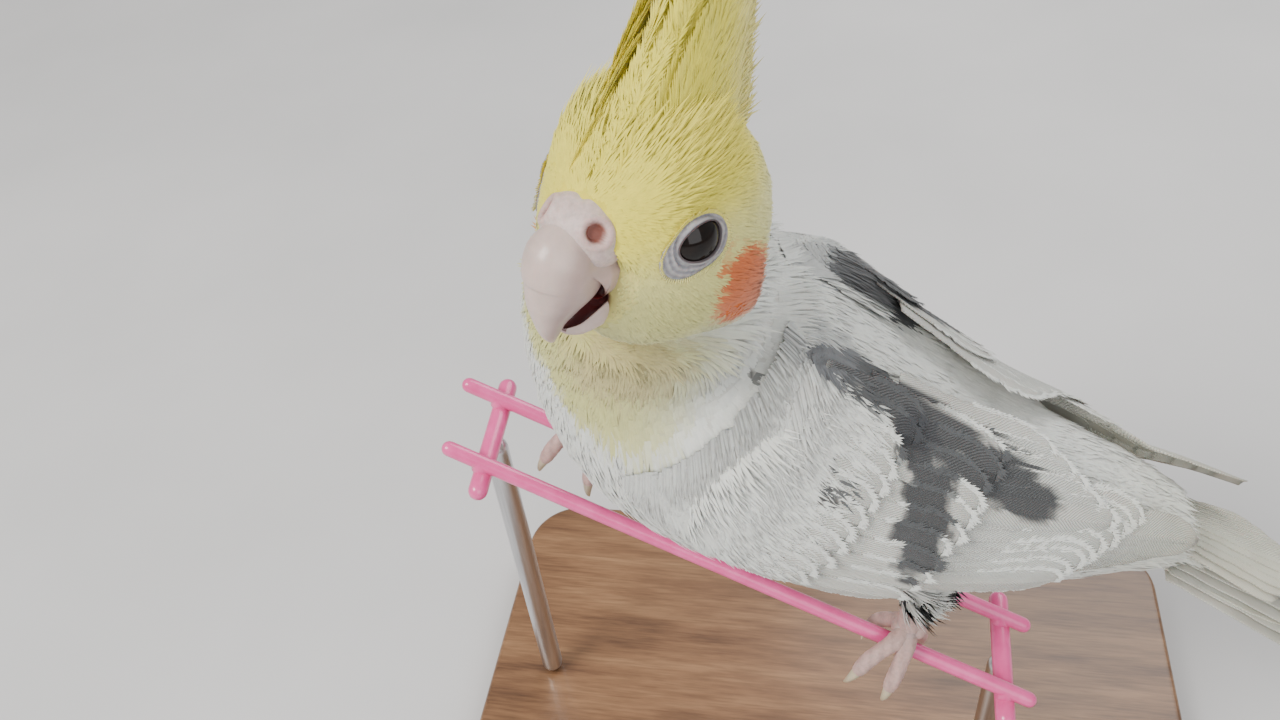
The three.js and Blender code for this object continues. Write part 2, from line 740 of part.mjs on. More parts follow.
function claw({ root, along, toes }, k) {
  const line = toeLine(root, along, toes[k]);
  const [before, end] = [line.at(-2), line.at(-1)];
  const way = end.clone().sub(before).normalize();
  const start = end.clone().addScaledVector(way, TOE.radius * 0.72 * 0.7 + GAP);
  const curl = v3(0, 0, -1).addScaledVector(way, way.z);
  const points = [0, 0.4, 0.75, 1].map((t) =>
    start
      .clone()
      .addScaledVector(way, TOE.claw * t * 0.8)
      .addScaledVector(curl, -TOE.claw * 0.3 * t * t * -1)
      .add(v3(-toes[k].side * TOE.claw * 0.28 * t * t, 0, 0)),
  );
  const rings = [1.05, 0.85, 0.5, 0.12];
  return loft(
    points.map((p, i) => {
      const [a, b] = [points[Math.max(0, i - 1)], points[Math.min(3, i + 1)]];
      const axis = b.clone().sub(a).normalize();
      const across = v3(0, 1, 0).cross(axis).normalize();
      const other = axis.clone().cross(across);
      return Array.from({ length: 6 }, (_, j) => {
        const turn = (2 * Math.PI * j) / 6;
        return p
          .clone()
          .addScaledVector(across, rings[i] * Math.cos(turn))
          .addScaledVector(other, rings[i] * Math.sin(turn));
      });
    }),
  );
}

// A feathered thigh from the belly down round the shank
function thigh({ ankle, hip, root, along, toes }, grow = 0) {
  const pad = toeLine(root, along, toes[0])[0];
  const low = mix(pad, ankle, 0.45);
  const points = [low, mix(low, ankle, 0.6), ankle, mix(ankle, hip, 0.5), hip];
  const radii = [3, 4.6, 6, 8, 9.5].map((r) => r + grow);
  return tube(points, radii, 14);
}

function shankHole({ ankle, root, along, toes, shank }) {
  const pad = toeLine(root, along, toes[0])[0];
  return tube([pad, mix(pad, ankle, 0.5), ankle], shank.map((r) => r + GAP), 10);
}

// The assembly
const COLOURS = {
  white: 0xdcdacb,
  yellow: 0xe3d873,
  face: 0xddd38a,
  grey: 0x4a4d50,
  bill: 0xc9b3aa,
  cere: 0xd9c7bd,
  eye: 0x120d0c,
  tongue: 0x8a4a4a,
  skin: 0xc79d93,
  claw: 0xcbbf9f,
  wire: 0xe86fa6,
  stand: 0x8d8a84,
};

// Half of space above a cut, moved along its normal
const above = (cut, shift) =>
  halfSpace(cut.point.clone().addScaledVector(cut.normal, shift), cut.normal);
const stationCut = (at) => {
  const f = bodyFrame(at);
  return { point: f.centre, normal: f.along.clone().negate() };
};
const headCut = stationCut(HEAD_CUT);
const neckCut = stationCut(NECK_CUT);
const tailCut = { point: tailRoot, normal: tailAlong.clone() };

// Bill, cere, mouth and eyes
const billBody = bill(UPPER_BILL, -1, 10, 12);
const billRoom = bill(UPPER_BILL, -1, 10, 12, GAP);
const lowerRoom = bill(LOWER_BILL, 1, 6, 12, GAP);
const cereBody = headBall(CERE.f, CERE.u, 0, CERE.radii, [16, 10]);
const cereRoom = headBall(CERE.f, CERE.u, 0, CERE.radii.map((r) => r + GAP), [16, 10]);
const eyeRoom = fuse([eyeSolid(1, GAP), eyeSolid(-1, GAP)]);
const mouthRoom = headBall(MOUTH.f, MOUTH.u, 0, MOUTH.radii, [12, 6]);
const cere = fuse([nostrilHole(1), nostrilHole(-1)]);
const cereSolid = cereBody.subtract(cere);
const upperBill = billBody.subtract(cereRoom);
const lowerBill = bill(LOWER_BILL, 1, 6, 12).subtract(billRoom);
const tongue = headBall(TONGUE.f, TONGUE.u, 0, TONGUE.radii, [8, 5]);

// Head, neck and torso are one form, parted by planes
const form = bodyLoft(0, 10.4, 26).add(headLoft());
const crestRoot = headBall(CREST_ROOT.f, CREST_ROOT.u, 0, CREST_ROOT.radii, [12, 7]);
const crestRoom = headBall(
  CREST_ROOT.f,
  CREST_ROOT.u,
  0,
  CREST_ROOT.radii.map((r) => r + GAP),
  [12, 7],
);
const crestVanes = fuse(
  Array.from({ length: CREST.files * CREST.perFile }, (_, i) =>
    crestFeather(i % CREST.files, Math.floor(i / CREST.files)),
  ),
);
const headSolid = form
  .add(lidRing(1))
  .add(lidRing(-1))
  .intersect(above(headCut, GAP / 2))
  .subtract(fuse([billRoom, lowerRoom, cereRoom, mouthRoom, eyeRoom, crestRoom]));
const headRoom = headLoft(GAP);
const crestSolid = crestVanes.subtract(headRoom).add(crestRoot).subtract(cereRoom);
const neckSolid = form.intersect(above(neckCut, GAP / 2)).subtract(above(headCut, -GAP / 2));
const torsoSolid = form.subtract(above(neckCut, -GAP / 2)).subtract(above(tailCut, 0));
const bodyRoom = bodyLoft(0, 11.6, 29, GAP);
const tailSolid = tail().intersect(above(tailCut, GAP));
const wings = [wing(1, WING_REACH[0]), wing(-1, WING_REACH[1])].map((w) => w.subtract(bodyRoom));

const bird = new THREE.Group();
const add = (name, made, colour, roughness, metalness) =>
  bird.add(meshOf(name, made, colour, roughness, metalness));
add("torso", torsoSolid, COLOURS.white, 0.9);
add("neck", neckSolid, COLOURS.white, 0.9);
add("head", headSolid, COLOURS.face, 0.9);
add("bill_upper", upperBill, COLOURS.bill, 0.4);
add("bill_lower", lowerBill, COLOURS.bill, 0.4);
add("cere", cereSolid, COLOURS.cere, 0.6);
add("tongue", tongue.subtract(lowerRoom).subtract(billRoom), COLOURS.tongue, 0.5);
add("crest", crestSolid, COLOURS.yellow, 0.9);
add("eye_left", eyeSolid(1), COLOURS.eye, 0.1);
add("eye_right", eyeSolid(-1), COLOURS.eye, 0.1);
add("tail", tailSolid, COLOURS.white, 0.9);
add("wing_left", wings[0], COLOURS.grey, 0.9);
add("wing_right", wings[1], COLOURS.grey, 0.9);
for (const [side, place] of [
  ["left", FOOT_LEFT],
  ["right", FOOT_RIGHT],
]) {
  add(`thigh_${side}`, thigh(place).subtract(bodyRoom).subtract(shankHole(place)), COLOURS.white, 0.9);
  add(`foot_${side}`, foot(place).subtract(bodyRoom), COLOURS.skin, 0.7);
  place.toes.forEach((_, k) => add(`claw_${side}_${k + 1}`, claw(place, k), COLOURS.claw, 0.4));
}
add("perch", perch(), COLOURS.wire, 0.4);
add("stand_base", standBase(), COLOURS.stand, 0.6);
CROSS_BARS.forEach((along, i) =>
  add(`stand_rod_${i ? "rear" : "front"}`, standRod(along), COLOURS.stand, 0.3, 1),
);

const group = new THREE.Group();
bird.position.set(0, -BASE_CENTRE_Y, -floorZ);
group.add(bird);

export default group;
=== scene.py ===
"""Looks of a life-size pied cockatiel with a raised crest, on a short piece of wire panel and a stand.

Shapes are worked out in millimetres in the bird's own frame: it faces -Y and its left is +X.
"""
import math

import bpy
import numpy as np
from mathutils import Matrix, Vector
from mathutils.bvhtree import BVHTree
from mathutils.kdtree import KDTree


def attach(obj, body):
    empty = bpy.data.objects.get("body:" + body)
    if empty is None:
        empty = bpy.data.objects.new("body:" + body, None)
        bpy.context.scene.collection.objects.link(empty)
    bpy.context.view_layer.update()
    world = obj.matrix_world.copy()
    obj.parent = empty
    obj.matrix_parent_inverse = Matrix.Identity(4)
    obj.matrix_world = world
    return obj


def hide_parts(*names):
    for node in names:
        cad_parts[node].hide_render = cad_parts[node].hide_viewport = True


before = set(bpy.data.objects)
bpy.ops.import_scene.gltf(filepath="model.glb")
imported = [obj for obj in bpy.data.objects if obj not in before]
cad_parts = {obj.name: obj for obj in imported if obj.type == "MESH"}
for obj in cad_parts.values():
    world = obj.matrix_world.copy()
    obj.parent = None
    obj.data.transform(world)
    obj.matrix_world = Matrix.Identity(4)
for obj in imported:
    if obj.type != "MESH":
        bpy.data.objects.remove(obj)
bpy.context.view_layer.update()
random = np.random.default_rng(7)

# Named sizes shared with the solids, in millimetres
SHIFT = np.array([0.0, 12.0, 72.0])  # bird frame to part frame
GAP = 0.3
# Centre x, y, z, half-width, and height over and under the centre
BODY_STATIONS = np.array([
    [16.5, -39, 99, 12, 12, 12],
    [10.5, -42, 86, 18.2, 17.6, 18.2],
    [5.5, -43.5, 74, 22.3, 20.3, 22],
    [2.8, -40, 64, 26.5, 23.6, 27.5],
    [2, -31.5, 54, 28.8, 25.5, 31],
    [2.4, -18, 45.5, 27.8, 24.5, 31],
    [2.8, -2, 38.5, 25, 20.5, 27],
    [3, 14, 33.5, 21, 15.5, 22],
    [2.4, 28, 29.5, 17, 12.5, 17],
    [1.5, 40, 25.5, 13, 9, 12.5],
    [0.6, 51, 20.5, 9.6, 6, 8],
    [0, 63, 14.2, 8.6, 3.6, 5],
    [0, 78, 6.2, 8.6, 3, 4],
])
CARRIER_MIN_WIDTH = 11.5
CARRIER_MIN_HEIGHT = 8
HEAD_CUT = 0.8
TAIL_CUT = 9.8
HEAD_CENTRE = np.array([18.5, -38.5, 103.0])
HEAD_TURN = (60, -15, 4)
# Forwards, up, half-depth and half-width, in the head's own frame
UPPER_BILL = np.array([
    [11, -0.5, 5.4, 5.9],
    [15.2, -0.1, 5.8, 5.8],
    [18.3, -1.8, 5.2, 5],
    [18.8, -4.9, 4.6, 4.4],
    [19.4, -7.8, 3.6, 3.4],
    [19.5, -10.5, 2.2, 2.1],
    [19, -12.7, 1.3, 1.2],
    [18.4, -14.2, 0.4, 0.4],
])
LOWER_BILL = np.array([
    [7, -8.1, 2.9, 4.9],
    [11, -9.2, 3.1, 5.1],
    [14.2, -10.5, 2.8, 4.7],
    [16.2, -11.8, 2.1, 3.5],
    [17.3, -12.4, 1.2, 1.9],
])
CERE_CENTRE = (14.4, 1.6)
CERE_RADII = (5.2, 5.3, 6.3)
HEAD_STATIONS = np.array([
    [-19.2, -2.5, 3.5, 3.2],
    [-17.6, -2, 8.5, 7.8],
    [-13.5, -1, 13.4, 12],
    [-8, -1.6, 17.2, 15],
    [-2, -1.4, 18.4, 16],
    [4, -1.4, 18, 15.4],
    [9, -1.4, 15.8, 13.4],
    [13, -1.4, 12.2, 10.4],
    [16, -2.4, 9, 7.4],
    [17.6, -3, 5.5, 4.4],
])
MOUTH = (14, -7.2, 5, 1.6, 4.3)  # front, height, depth, half-height and half-width of the cavity
NOSTRIL = (17.2, 3.9, 4.5)
NOSTRIL_RADIUS = 1.45
EYE = (6.7, 3.3)
EYE_RADIUS = 4.2
EYE_OPENING = (3.4, 2.5, 24)  # half-length, half-height and tilt of the gap between the lids
EYE_WAY = (0.34, 0.2, 0.92)  # forwards, up and out, the way that the eye looks
HANDS = ((1, "left"), (-1, "right"))
CAMERA_ANGLES = (104, 43, 7)  # azimuth, pitch down and roll
CAMERA_PLACE = (143.9, -11.4, 194.3)
FIELD_OF_VIEW = 60
ROOT = "root"
NECK_PLANE_SOFT = 5  # the head's coat turns into the neck's over this distance
STATION_LENGTH = 15  # rough millimetres from station to station
DEGREE_LENGTH = 0.42  # rough millimetres to a degree round the body
STATION_COUNT = 12
VOXEL = 0.0009  # metres
SMOOTH_STEPS = 9
COAT_DEPTH = 0.0006  # metres
BODY_CELL = 1.35
HEAD_CELL = 0.62
LESSER_COVERTS = 3400
PIECE_TRIANGLES = 190000  # most triangles in one piece of the coat
BAKE_PATCH = 0.0015  # half the side of a tuft's patch


# Numbers and directions
def unit(v):
    return v / np.maximum(np.linalg.norm(v, axis=-1, keepdims=True), 1e-9)


def lerp(a, b, t):
    return a + (b - a) * t


def smoothstep(low, high, x):
    t = np.clip((x - low) / (high - low), 0, 1)
    return t * t * (3 - 2 * t)


def rows_at(rows, at):
    """Smooth interpolation of rows of numbers."""
    at = np.asarray(at, float)
    last = len(rows) - 1
    i = np.clip(np.floor(at).astype(int), 0, last - 1)
    t = (at - i)[..., None]
    a, b, d, e = (rows[np.clip(i + k, 0, last)] for k in (-1, 0, 1, 2))
    low, high = (d - a) / 2, (e - b) / 2
    return (
        (2 * t**3 - 3 * t**2 + 1) * b
        + (t**3 - 2 * t**2 + t) * low
        + (3 * t**2 - 2 * t**3) * d
        + (t**3 - t**2) * high
    )


def body_frame(at):
    at = np.asarray(at, float)
    values = rows_at(BODY_STATIONS, at)
    along = unit((rows_at(BODY_STATIONS, at + 0.05) - rows_at(BODY_STATIONS, at - 0.05))[..., :3])
    across = np.zeros_like(along)
    across[..., 0] = 1
    side = unit(across - along * along[..., :1])
    up = np.cross(side, along)
    return values[..., :3], along, side, up, values[..., 3], values[..., 4], values[..., 5]


def body_point(at, turn, grow=0.0):
    centre, _, side, up, width, back, belly = body_frame(at)
    angle = np.radians(turn)
    tall = np.where(np.cos(angle) > 0, back, belly)
    return (
        centre
        + side * ((width + grow) * np.sin(angle))[..., None]
        + up * ((tall + grow) * np.cos(angle))[..., None]
    )


def carrier_point(at, turn, height, hand):
    """The surface that a folded wing lies on, at a height over the body."""
    centre, _, side, up, width, back, belly = body_frame(at)
    angle = np.radians(turn)
    width = np.maximum(width, CARRIER_MIN_WIDTH)
    tall = np.maximum(np.where(np.cos(angle) > 0, back, belly), CARRIER_MIN_HEIGHT)
    out = unit(side * (np.sin(angle) / width)[..., None] + up * (np.cos(angle) / tall)[..., None])
    out = out * np.array([hand, 1, 1])
    place = centre + side * (width * np.sin(angle) * hand)[..., None]
    place = place + up * (tall * np.cos(angle))[..., None]
    return place + out * np.asarray(height)[..., None]


head_turn = np.array(
    Matrix.Rotation(math.radians(HEAD_TURN[0]), 3, "Z")
    @ Matrix.Rotation(math.radians(HEAD_TURN[1]), 3, "X")
    @ Matrix.Rotation(math.radians(HEAD_TURN[2]), 3, "Y")
)


def head_way(f, u, s):
    """A direction given forwards, up and to the left of the head."""
    local = np.stack(np.broadcast_arrays(s, -np.asarray(f, float), u), -1).astype(float)
    return local @ head_turn.T


def head_point(f, u, s):
    return head_way(f, u, s) + HEAD_CENTRE


def head_local(points):
    local = (points - HEAD_CENTRE) @ head_turn
    return -local[..., 1], local[..., 2], local[..., 0]


# Meshes
def piece(
    name, points, faces, material, slot, replaced=(), tint=None, bake=None, lie=None, smooth=True, shade=None
):
    points = (np.asarray(points, float).reshape(-1, 3) + SHIFT) / 1000
    faces = np.asarray(faces, np.int32)
    count, sides = faces.shape
    mesh = bpy.data.meshes.new(name)
    mesh.vertices.add(len(points))
    mesh.vertices.foreach_set("co", points.ravel().astype(np.float32))
    mesh.loops.add(count * sides)
    mesh.loops.foreach_set("vertex_index", faces.ravel())
    mesh.polygons.add(count)
    mesh.polygons.foreach_set("loop_start", np.arange(0, count * sides, sides, dtype=np.int32))
    mesh.polygons.foreach_set("use_smooth", np.full(count, smooth))
    if tint is not None:
        colours = mesh.color_attributes.new("tint", "FLOAT_COLOR", "POINT")
        filled = np.ones((len(points), 4), np.float32)
        filled[:, :3] = tint
        colours.data.foreach_set("color", filled.ravel())
    for label, flat in (("OFBake", bake), ("lie", lie)):
        if flat is not None:
            layer = mesh.uv_layers.new(name=label)
            layer.data.foreach_set("uv", np.asarray(flat, np.float32)[faces.ravel()].ravel())
    mesh.update(calc_edges=True)
    if shade is not None:
        mesh.normals_split_custom_set_from_vertices(shade.tolist())
    mesh.materials.append(material)
    made = bpy.data.objects.new(name, mesh)
    bpy.context.scene.collection.objects.link(made)
    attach(made, ROOT)
    if replaced:
        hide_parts(*replaced)
    return made


def grid_faces(rows, columns, wrap=False, start=0):
    """Quads of a grid of rows by columns of points."""
    r, c = np.meshgrid(np.arange(rows - 1), np.arange(columns if wrap else columns - 1), indexing="ij")
    a = start + r * columns + c
    b = start + r * columns + (c + 1) % columns
    return np.stack([a, b, b + columns, a + columns], -1).reshape(-1, 4)


def gather(parts):
    """One set of points and faces from several, with the extras that go with each point."""
    points, faces, extras, start = [], [], [], 0
    for part in parts:
        points.append(part[0].reshape(-1, 3))
        faces.append(part[1] + start)
        extras.append(part[2:])
        start += len(points[-1])
    joined = [np.concatenate(column) for column in zip(*extras)]
    return (np.concatenate(points), np.concatenate(faces), *joined)


def close_ends(rings):
    """The rings with a closing point before the first and after the last."""
    first = np.broadcast_to(rings[:1].mean(1, keepdims=True), rings[:1].shape)
    last = np.broadcast_to(rings[-1:].mean(1, keepdims=True), rings[:1].shape)
    return np.concatenate([first, rings, last])


def along_curve(controls, count):
    """Evenly spread points on a smooth curve through the controls."""
    controls = np.asarray(controls, float)
    fine = rows_at(controls, np.linspace(0, len(controls) - 1, 400))
    steps = np.concatenate([[0], np.cumsum(np.linalg.norm(np.diff(fine, axis=0), axis=1))])
    even = np.linspace(0, steps[-1], count)
    return np.stack([np.interp(even, steps, fine[:, k]) for k in range(3)], -1)


def tube(points, radii, sides=16, seed=(0, 0, 1)):
    """A tube with rounded, closed ends."""
    points = np.asarray(points, float)
    radii = np.asarray(radii, float)
    ways = unit(np.gradient(points, axis=0))
    across = np.asarray(seed, float) + np.array([1e-3, 2e-3, 0])
    frames = []
    for way in ways:
        across = across - way * (across @ way)
        across = across / np.linalg.norm(across)
        frames.append(across)

    def cap(end, angles, way):
        return [
            (points[end] + way * radii[end] * math.sin(a), ways[end], frames[end], radii[end] * math.cos(a))
            for a in angles
        ]

    angles = np.radians([90, 68, 45, 22])
    rows = cap(0, angles, -ways[0]) + list(zip(points, ways, frames, radii)) + cap(-1, angles[::-1], ways[-1])
    centres, ways, across, radii = (np.array(column) for column in zip(*rows))
    radii = np.maximum(radii, 1e-3)[:, None]
    turn = np.linspace(0, 2 * np.pi, sides, endpoint=False)
    other = np.cross(ways, across)
    rings = (
        centres[:, None]
        + across[:, None] * (radii * np.cos(turn))[..., None]
        + other[:, None] * (radii * np.sin(turn))[..., None]
    )
    return rings, grid_faces(len(centres), sides, wrap=True)


# Materials
def material(name, roughness=0.5, colour=(0.8, 0.8, 0.8), metallic=0.0, coat=0.0, subsurface=0.0, sheen=0.0):
    made = bpy.data.materials.new(name)
    made.use_nodes = True
    nodes = made.node_tree.nodes
    shader = nodes["Principled BSDF"]
    shader.inputs["Base Color"].default_value = (*colour, 1)
    shader.inputs["Roughness"].default_value = roughness
    shader.inputs["Metallic"].default_value = metallic
    shader.inputs["Coat Weight"].default_value = coat
    shader.inputs["Coat Roughness"].default_value = 0.15
    shader.inputs["Subsurface Weight"].default_value = subsurface
    shader.inputs["Subsurface Scale"].default_value = 0.0015
    shader.inputs["Sheen Weight"].default_value = sheen
    return made


def add_node(made, kind, links=(), **settings):
    node = made.node_tree.nodes.new(kind)
    for key, value in settings.items():
        if key.startswith("in_"):
            node.inputs[key[3:].replace("_", " ")].default_value = value
        else:
            setattr(node, key, value)
    for socket, source in links:
        made.node_tree.links.new(source, node.inputs[socket])
    return node


def shader_of(made):
    return made.node_tree.nodes["Principled BSDF"]


def link(made, source, socket):
    made.node_tree.links.new(source, shader_of(made).inputs[socket])


def add_bump(made, height, strength, distance):
    bump = add_node(made, "ShaderNodeBump", [("Height", height)])
    bump.inputs["Strength"].default_value = strength
    bump.inputs["Distance"].default_value = distance
    link(made, bump.outputs["Normal"], "Normal")


def object_noise(made, scale, detail=4.0, roughness=0.55, stretch=None):
    where = add_node(made, "ShaderNodeTexCoord").outputs["Object"]
    if stretch:
        where = add_node(made, "ShaderNodeMapping", [("Vector", where)], in_Scale=stretch).outputs["Vector"]
    noise = add_node(made, "ShaderNodeTexNoise", [("Vector", where)])
    noise.inputs["Scale"].default_value = scale
    noise.inputs["Detail"].default_value = detail
    noise.inputs["Roughness"].default_value = roughness
    return noise.outputs["Fac"]


def ramp(made, source, stops):
    node = add_node(made, "ShaderNodeValToRGB", [("Fac", source)])
    elements = node.color_ramp.elements
    while len(elements) < len(stops):
        elements.new(0.5)
    for element, (place, colour) in zip(elements, stops):
        element.position = place
        element.color = (*colour, 1)
    return node.outputs["Color"]


def multiply(made, first, second):
    node = add_node(made, "ShaderNodeMix", data_type="RGBA", blend_type="MULTIPLY")
    node.inputs[0].default_value = 1.0
    made.node_tree.links.new(first, node.inputs[6])
    made.node_tree.links.new(second, node.inputs[7])
    return node.outputs[2]


def tinted(name, roughness, low=0.86, scale=900.0, **kinds):
    """A material coloured by the mesh's own markings, in places with painted shade, with fine mottling."""
    made = material(name, roughness, **kinds)
    tint = add_node(made, "ShaderNodeVertexColor", layer_name="tint").outputs["Color"]
    fine = object_noise(made, scale)
    shade = ramp(made, fine, [(0.3, (low, low, low)), (0.7, (1, 1, 1))])
    link(made, multiply(made, tint, shade), "Base Color")
    add_bump(made, fine, 0.25, 0.0002)
    return made


def mottled(made, scale, dark, light, bump=0.0, distance=0.0002, stretch=None, top=0.7):
    """Colour the material by a noise between two shades, and raise it by the same noise."""
    noise = object_noise(made, scale, stretch=stretch)
    link(made, ramp(made, noise, [(0.3, dark), (top, light)]), "Base Color")
    if bump:
        add_bump(made, noise, bump, distance)
    return made


def maths(made, operation, first, second=None):
    """A node that works on one socket, or on a socket and a second socket or number."""
    node = add_node(made, "ShaderNodeMath", [(0, first)], operation=operation)
    if isinstance(second, float):
        node.inputs[1].default_value = second
    elif second is not None:
        made.node_tree.links.new(second, node.inputs[1])
    return node.outputs[0]


BARB_SLANT = -1.3
BARBS_PER_MM = 9.0


def vane_material():
    """Feather vanes: barbs run forwards from the shaft at a slant on both sides."""
    made = material("vane", 0.62, subsurface=0.08, sheen=0.15)
    tint = add_node(made, "ShaderNodeVertexColor", layer_name="tint").outputs["Color"]
    flat = add_node(made, "ShaderNodeUVMap", uv_map="lie").outputs["UV"]
    split = add_node(made, "ShaderNodeSeparateXYZ", [("Vector", flat)])
    slant = maths(made, "MULTIPLY", maths(made, "ABSOLUTE", split.outputs["X"]), BARB_SLANT)
    run = maths(made, "ADD", slant, split.outputs["Y"])
    bent = maths(made, "ADD", run, object_noise(made, 350.0))
    stripes = maths(made, "SINE", maths(made, "MULTIPLY", bent, BARBS_PER_MM))
    # Darker between the barbs: painted shade in the grooves between them.
    barb_shade = ramp(made, stripes, [(0.0, (0.82, 0.82, 0.81)), (0.8, (1, 1, 1))])
    cloud = ramp(made, object_noise(made, 160.0), [(0.35, (0.9, 0.9, 0.89)), (0.65, (1, 1, 1))])
    link(made, multiply(made, multiply(made, tint, barb_shade), cloud), "Base Color")
    add_bump(made, stripes, 0.7, 0.0002)
    return made


def wood_material():
    made = material("wood", 0.38, (0.3, 0.18, 0.1), coat=0.25)
    grain = object_noise(made, 60.0, 6.0, 0.6, stretch=(3.0, 0.35, 6.0))
    fine = object_noise(made, 500.0, 3.0, 0.6, stretch=(3.0, 0.15, 6.0))
    browns = [(0.3, (0.10, 0.045, 0.02)), (0.5, (0.22, 0.11, 0.05)), (0.72, (0.33, 0.18, 0.085))]
    colours = ramp(made, grain, browns)
    pores = ramp(made, fine, [(0.35, (0.7, 0.68, 0.66)), (0.6, (1, 1, 1))])
    link(made, multiply(made, colours, pores), "Base Color")
    add_bump(made, fine, 0.15, 0.0002)
    return made


def eye_material():
    made = material("eye", 0.1, (0.012, 0.007, 0.005), coat=0.3)
    shader_of(made).inputs["Specular IOR Level"].default_value = 0.15
    shader_of(made).inputs["Coat Roughness"].default_value = 0.02
    return mottled(made, 700.0, (0.003, 0.002, 0.002), (0.01, 0.005, 0.003), top=0.75)


PLUMAGE = tinted("plumage", 0.78, low=0.9, subsurface=0.1, sheen=0.25)
SKIN = tinted("under_plumage", 0.85, low=0.8, scale=500.0, subsurface=0.1)
VANE = vane_material()
BARE = tinted("bare_skin", 0.5, low=0.78, scale=1500.0, subsurface=0.2)
HORN = tinted("horn", 0.36, low=0.85, scale=350.0, subsurface=0.12, coat=0.15)
FOOT = tinted("scaled_skin", 0.55, low=0.75, scale=1300.0, subsurface=0.2)
EYE_SHINE = eye_material()
WOOD = wood_material()
COATED = material("coated_wire", 0.28, (0.80, 0.09, 0.30), coat=0.5)
mottled(COATED, 260.0, (0.74, 0.075, 0.27), (0.86, 0.12, 0.35), 0.3)
STEEL = material("rod_steel", 0.3, (0.62, 0.62, 0.63), metallic=1.0)
mottled(STEEL, 900.0, (0.5, 0.5, 0.51), (0.68, 0.68, 0.69), 0.1, 0.0001, (1.0, 1.0, 0.05))
FLOOR = mottled(material("floor", 0.8, (0.62, 0.61, 0.6)), 6.0, (0.58, 0.575, 0.57), (0.66, 0.65, 0.645))

# Colours of the markings, some of them darkened by painted shade
WHITE = np.array([0.80, 0.785, 0.72])
CREAM = np.array([0.80, 0.76, 0.58])
YELLOW = np.array([0.94, 0.79, 0.06])
CREST_YELLOW = np.array([0.95, 0.81, 0.07])
PALE_YELLOW = np.array([0.80, 0.73, 0.25])
OCHRE = np.array([0.52, 0.39, 0.20])
# Darker olive yellow of the lower face: partly its own colour, partly painted shade
SHADED_OLIVE_YELLOW = np.array([0.56, 0.53, 0.18])
ORANGE = np.array([0.70, 0.14, 0.022])
CHARCOAL = np.array([0.042, 0.044, 0.05])
SMUDGE = np.array([0.25, 0.25, 0.26])
OLIVE = np.array([0.33, 0.34, 0.25])
# Dark red of the mouth's inside: its own red, darkened as painted shade
SHADED_MOUTH_RED = np.array([0.16, 0.03, 0.03])
BILL_PINK = np.array([0.57, 0.41, 0.36])
# Grey of the bill's sides: partly the horn's own grey, partly painted shade
SHADED_BILL_GREY = np.array([0.37, 0.28, 0.28])
BILL_PALE = np.array([0.68, 0.54, 0.48])
CERE_PINK = np.array([0.68, 0.53, 0.49])
NOSTRIL_RED = np.array([0.24, 0.065, 0.04])
NOSTRIL_RIM = np.array([0.62, 0.38, 0.34])
TONGUE = np.array([0.36, 0.13, 0.13])
SKIN_LILAC = np.array([0.27, 0.255, 0.28])
LID_EDGE = np.array([0.08, 0.06, 0.065])
FOOT_PINK = np.array([0.60, 0.40, 0.36])
CLAW_HORN = np.array([0.52, 0.44, 0.30])


def plain(colour, *shape):
    """The same colour at every place."""
    return np.broadcast_to(colour, (*shape, 3)).copy()


def blend(base, colour, weight):
    return base + (colour - base) * np.clip(weight, 0, 1)[..., None]


def near_line(at, turn, line, reach):
    """How far inside a soft band along a line of (station, degrees) a place is."""
    best = np.full(np.shape(at), -9.0)
    for (a0, t0, w0), (a1, t1, w1) in zip(line[:-1], line[1:]):
        ax, ay = a0 * STATION_LENGTH, t0 * DEGREE_LENGTH
        bx, by = a1 * STATION_LENGTH, t1 * DEGREE_LENGTH
        px, py = at * STATION_LENGTH, turn * DEGREE_LENGTH
        span = (bx - ax) ** 2 + (by - ay) ** 2
        t = np.clip(((px - ax) * (bx - ax) + (py - ay) * (by - ay)) / span, 0, 1)
        gap = np.hypot(px - ax - t * (bx - ax), py - ay - t * (by - ay))
        best = np.maximum(best, 1 - gap / lerp(w0, w1, t))
    return smoothstep(-reach, reach, best)


# Dark markings on the left: station, degrees from the back and half-width in millimetres
DARK_LEFT = [
    (0.95, [(3.9, 21, 2.6), (4.8, 23, 3.4), (5.5, 25, 4.0), (6.2, 28, 4.2), (6.8, 36, 5.0), (7.15, 42, 4.4)]),
    (0.95, [(5.6, 34, 3.0), (5.95, 50, 3.8), (6.05, 64, 4.0), (6.2, 79, 3.6)]),
    (0.9, [(4.85, 56, 1.4), (5.0, 60, 1.5)]),
    (0.8, [(2.25, 36, 0.9), (2.4, 38, 0.9)]),
    (0.45, [(3.0, 16, 3.0), (3.6, 18, 4.4), (4.3, 16, 4.4)]),
]
DARK_RIGHT = [
    (0.95, [(4.3, 24, 3.2), (5.2, 28, 4.0), (6.0, 40, 4.6), (6.5, 58, 4.2)]),
    (0.9, [(5.1, 70, 2.2), (5.5, 80, 2.4)]),
    (0.5, [(3.3, 18, 3.4), (3.9, 20, 4.0)]),
]


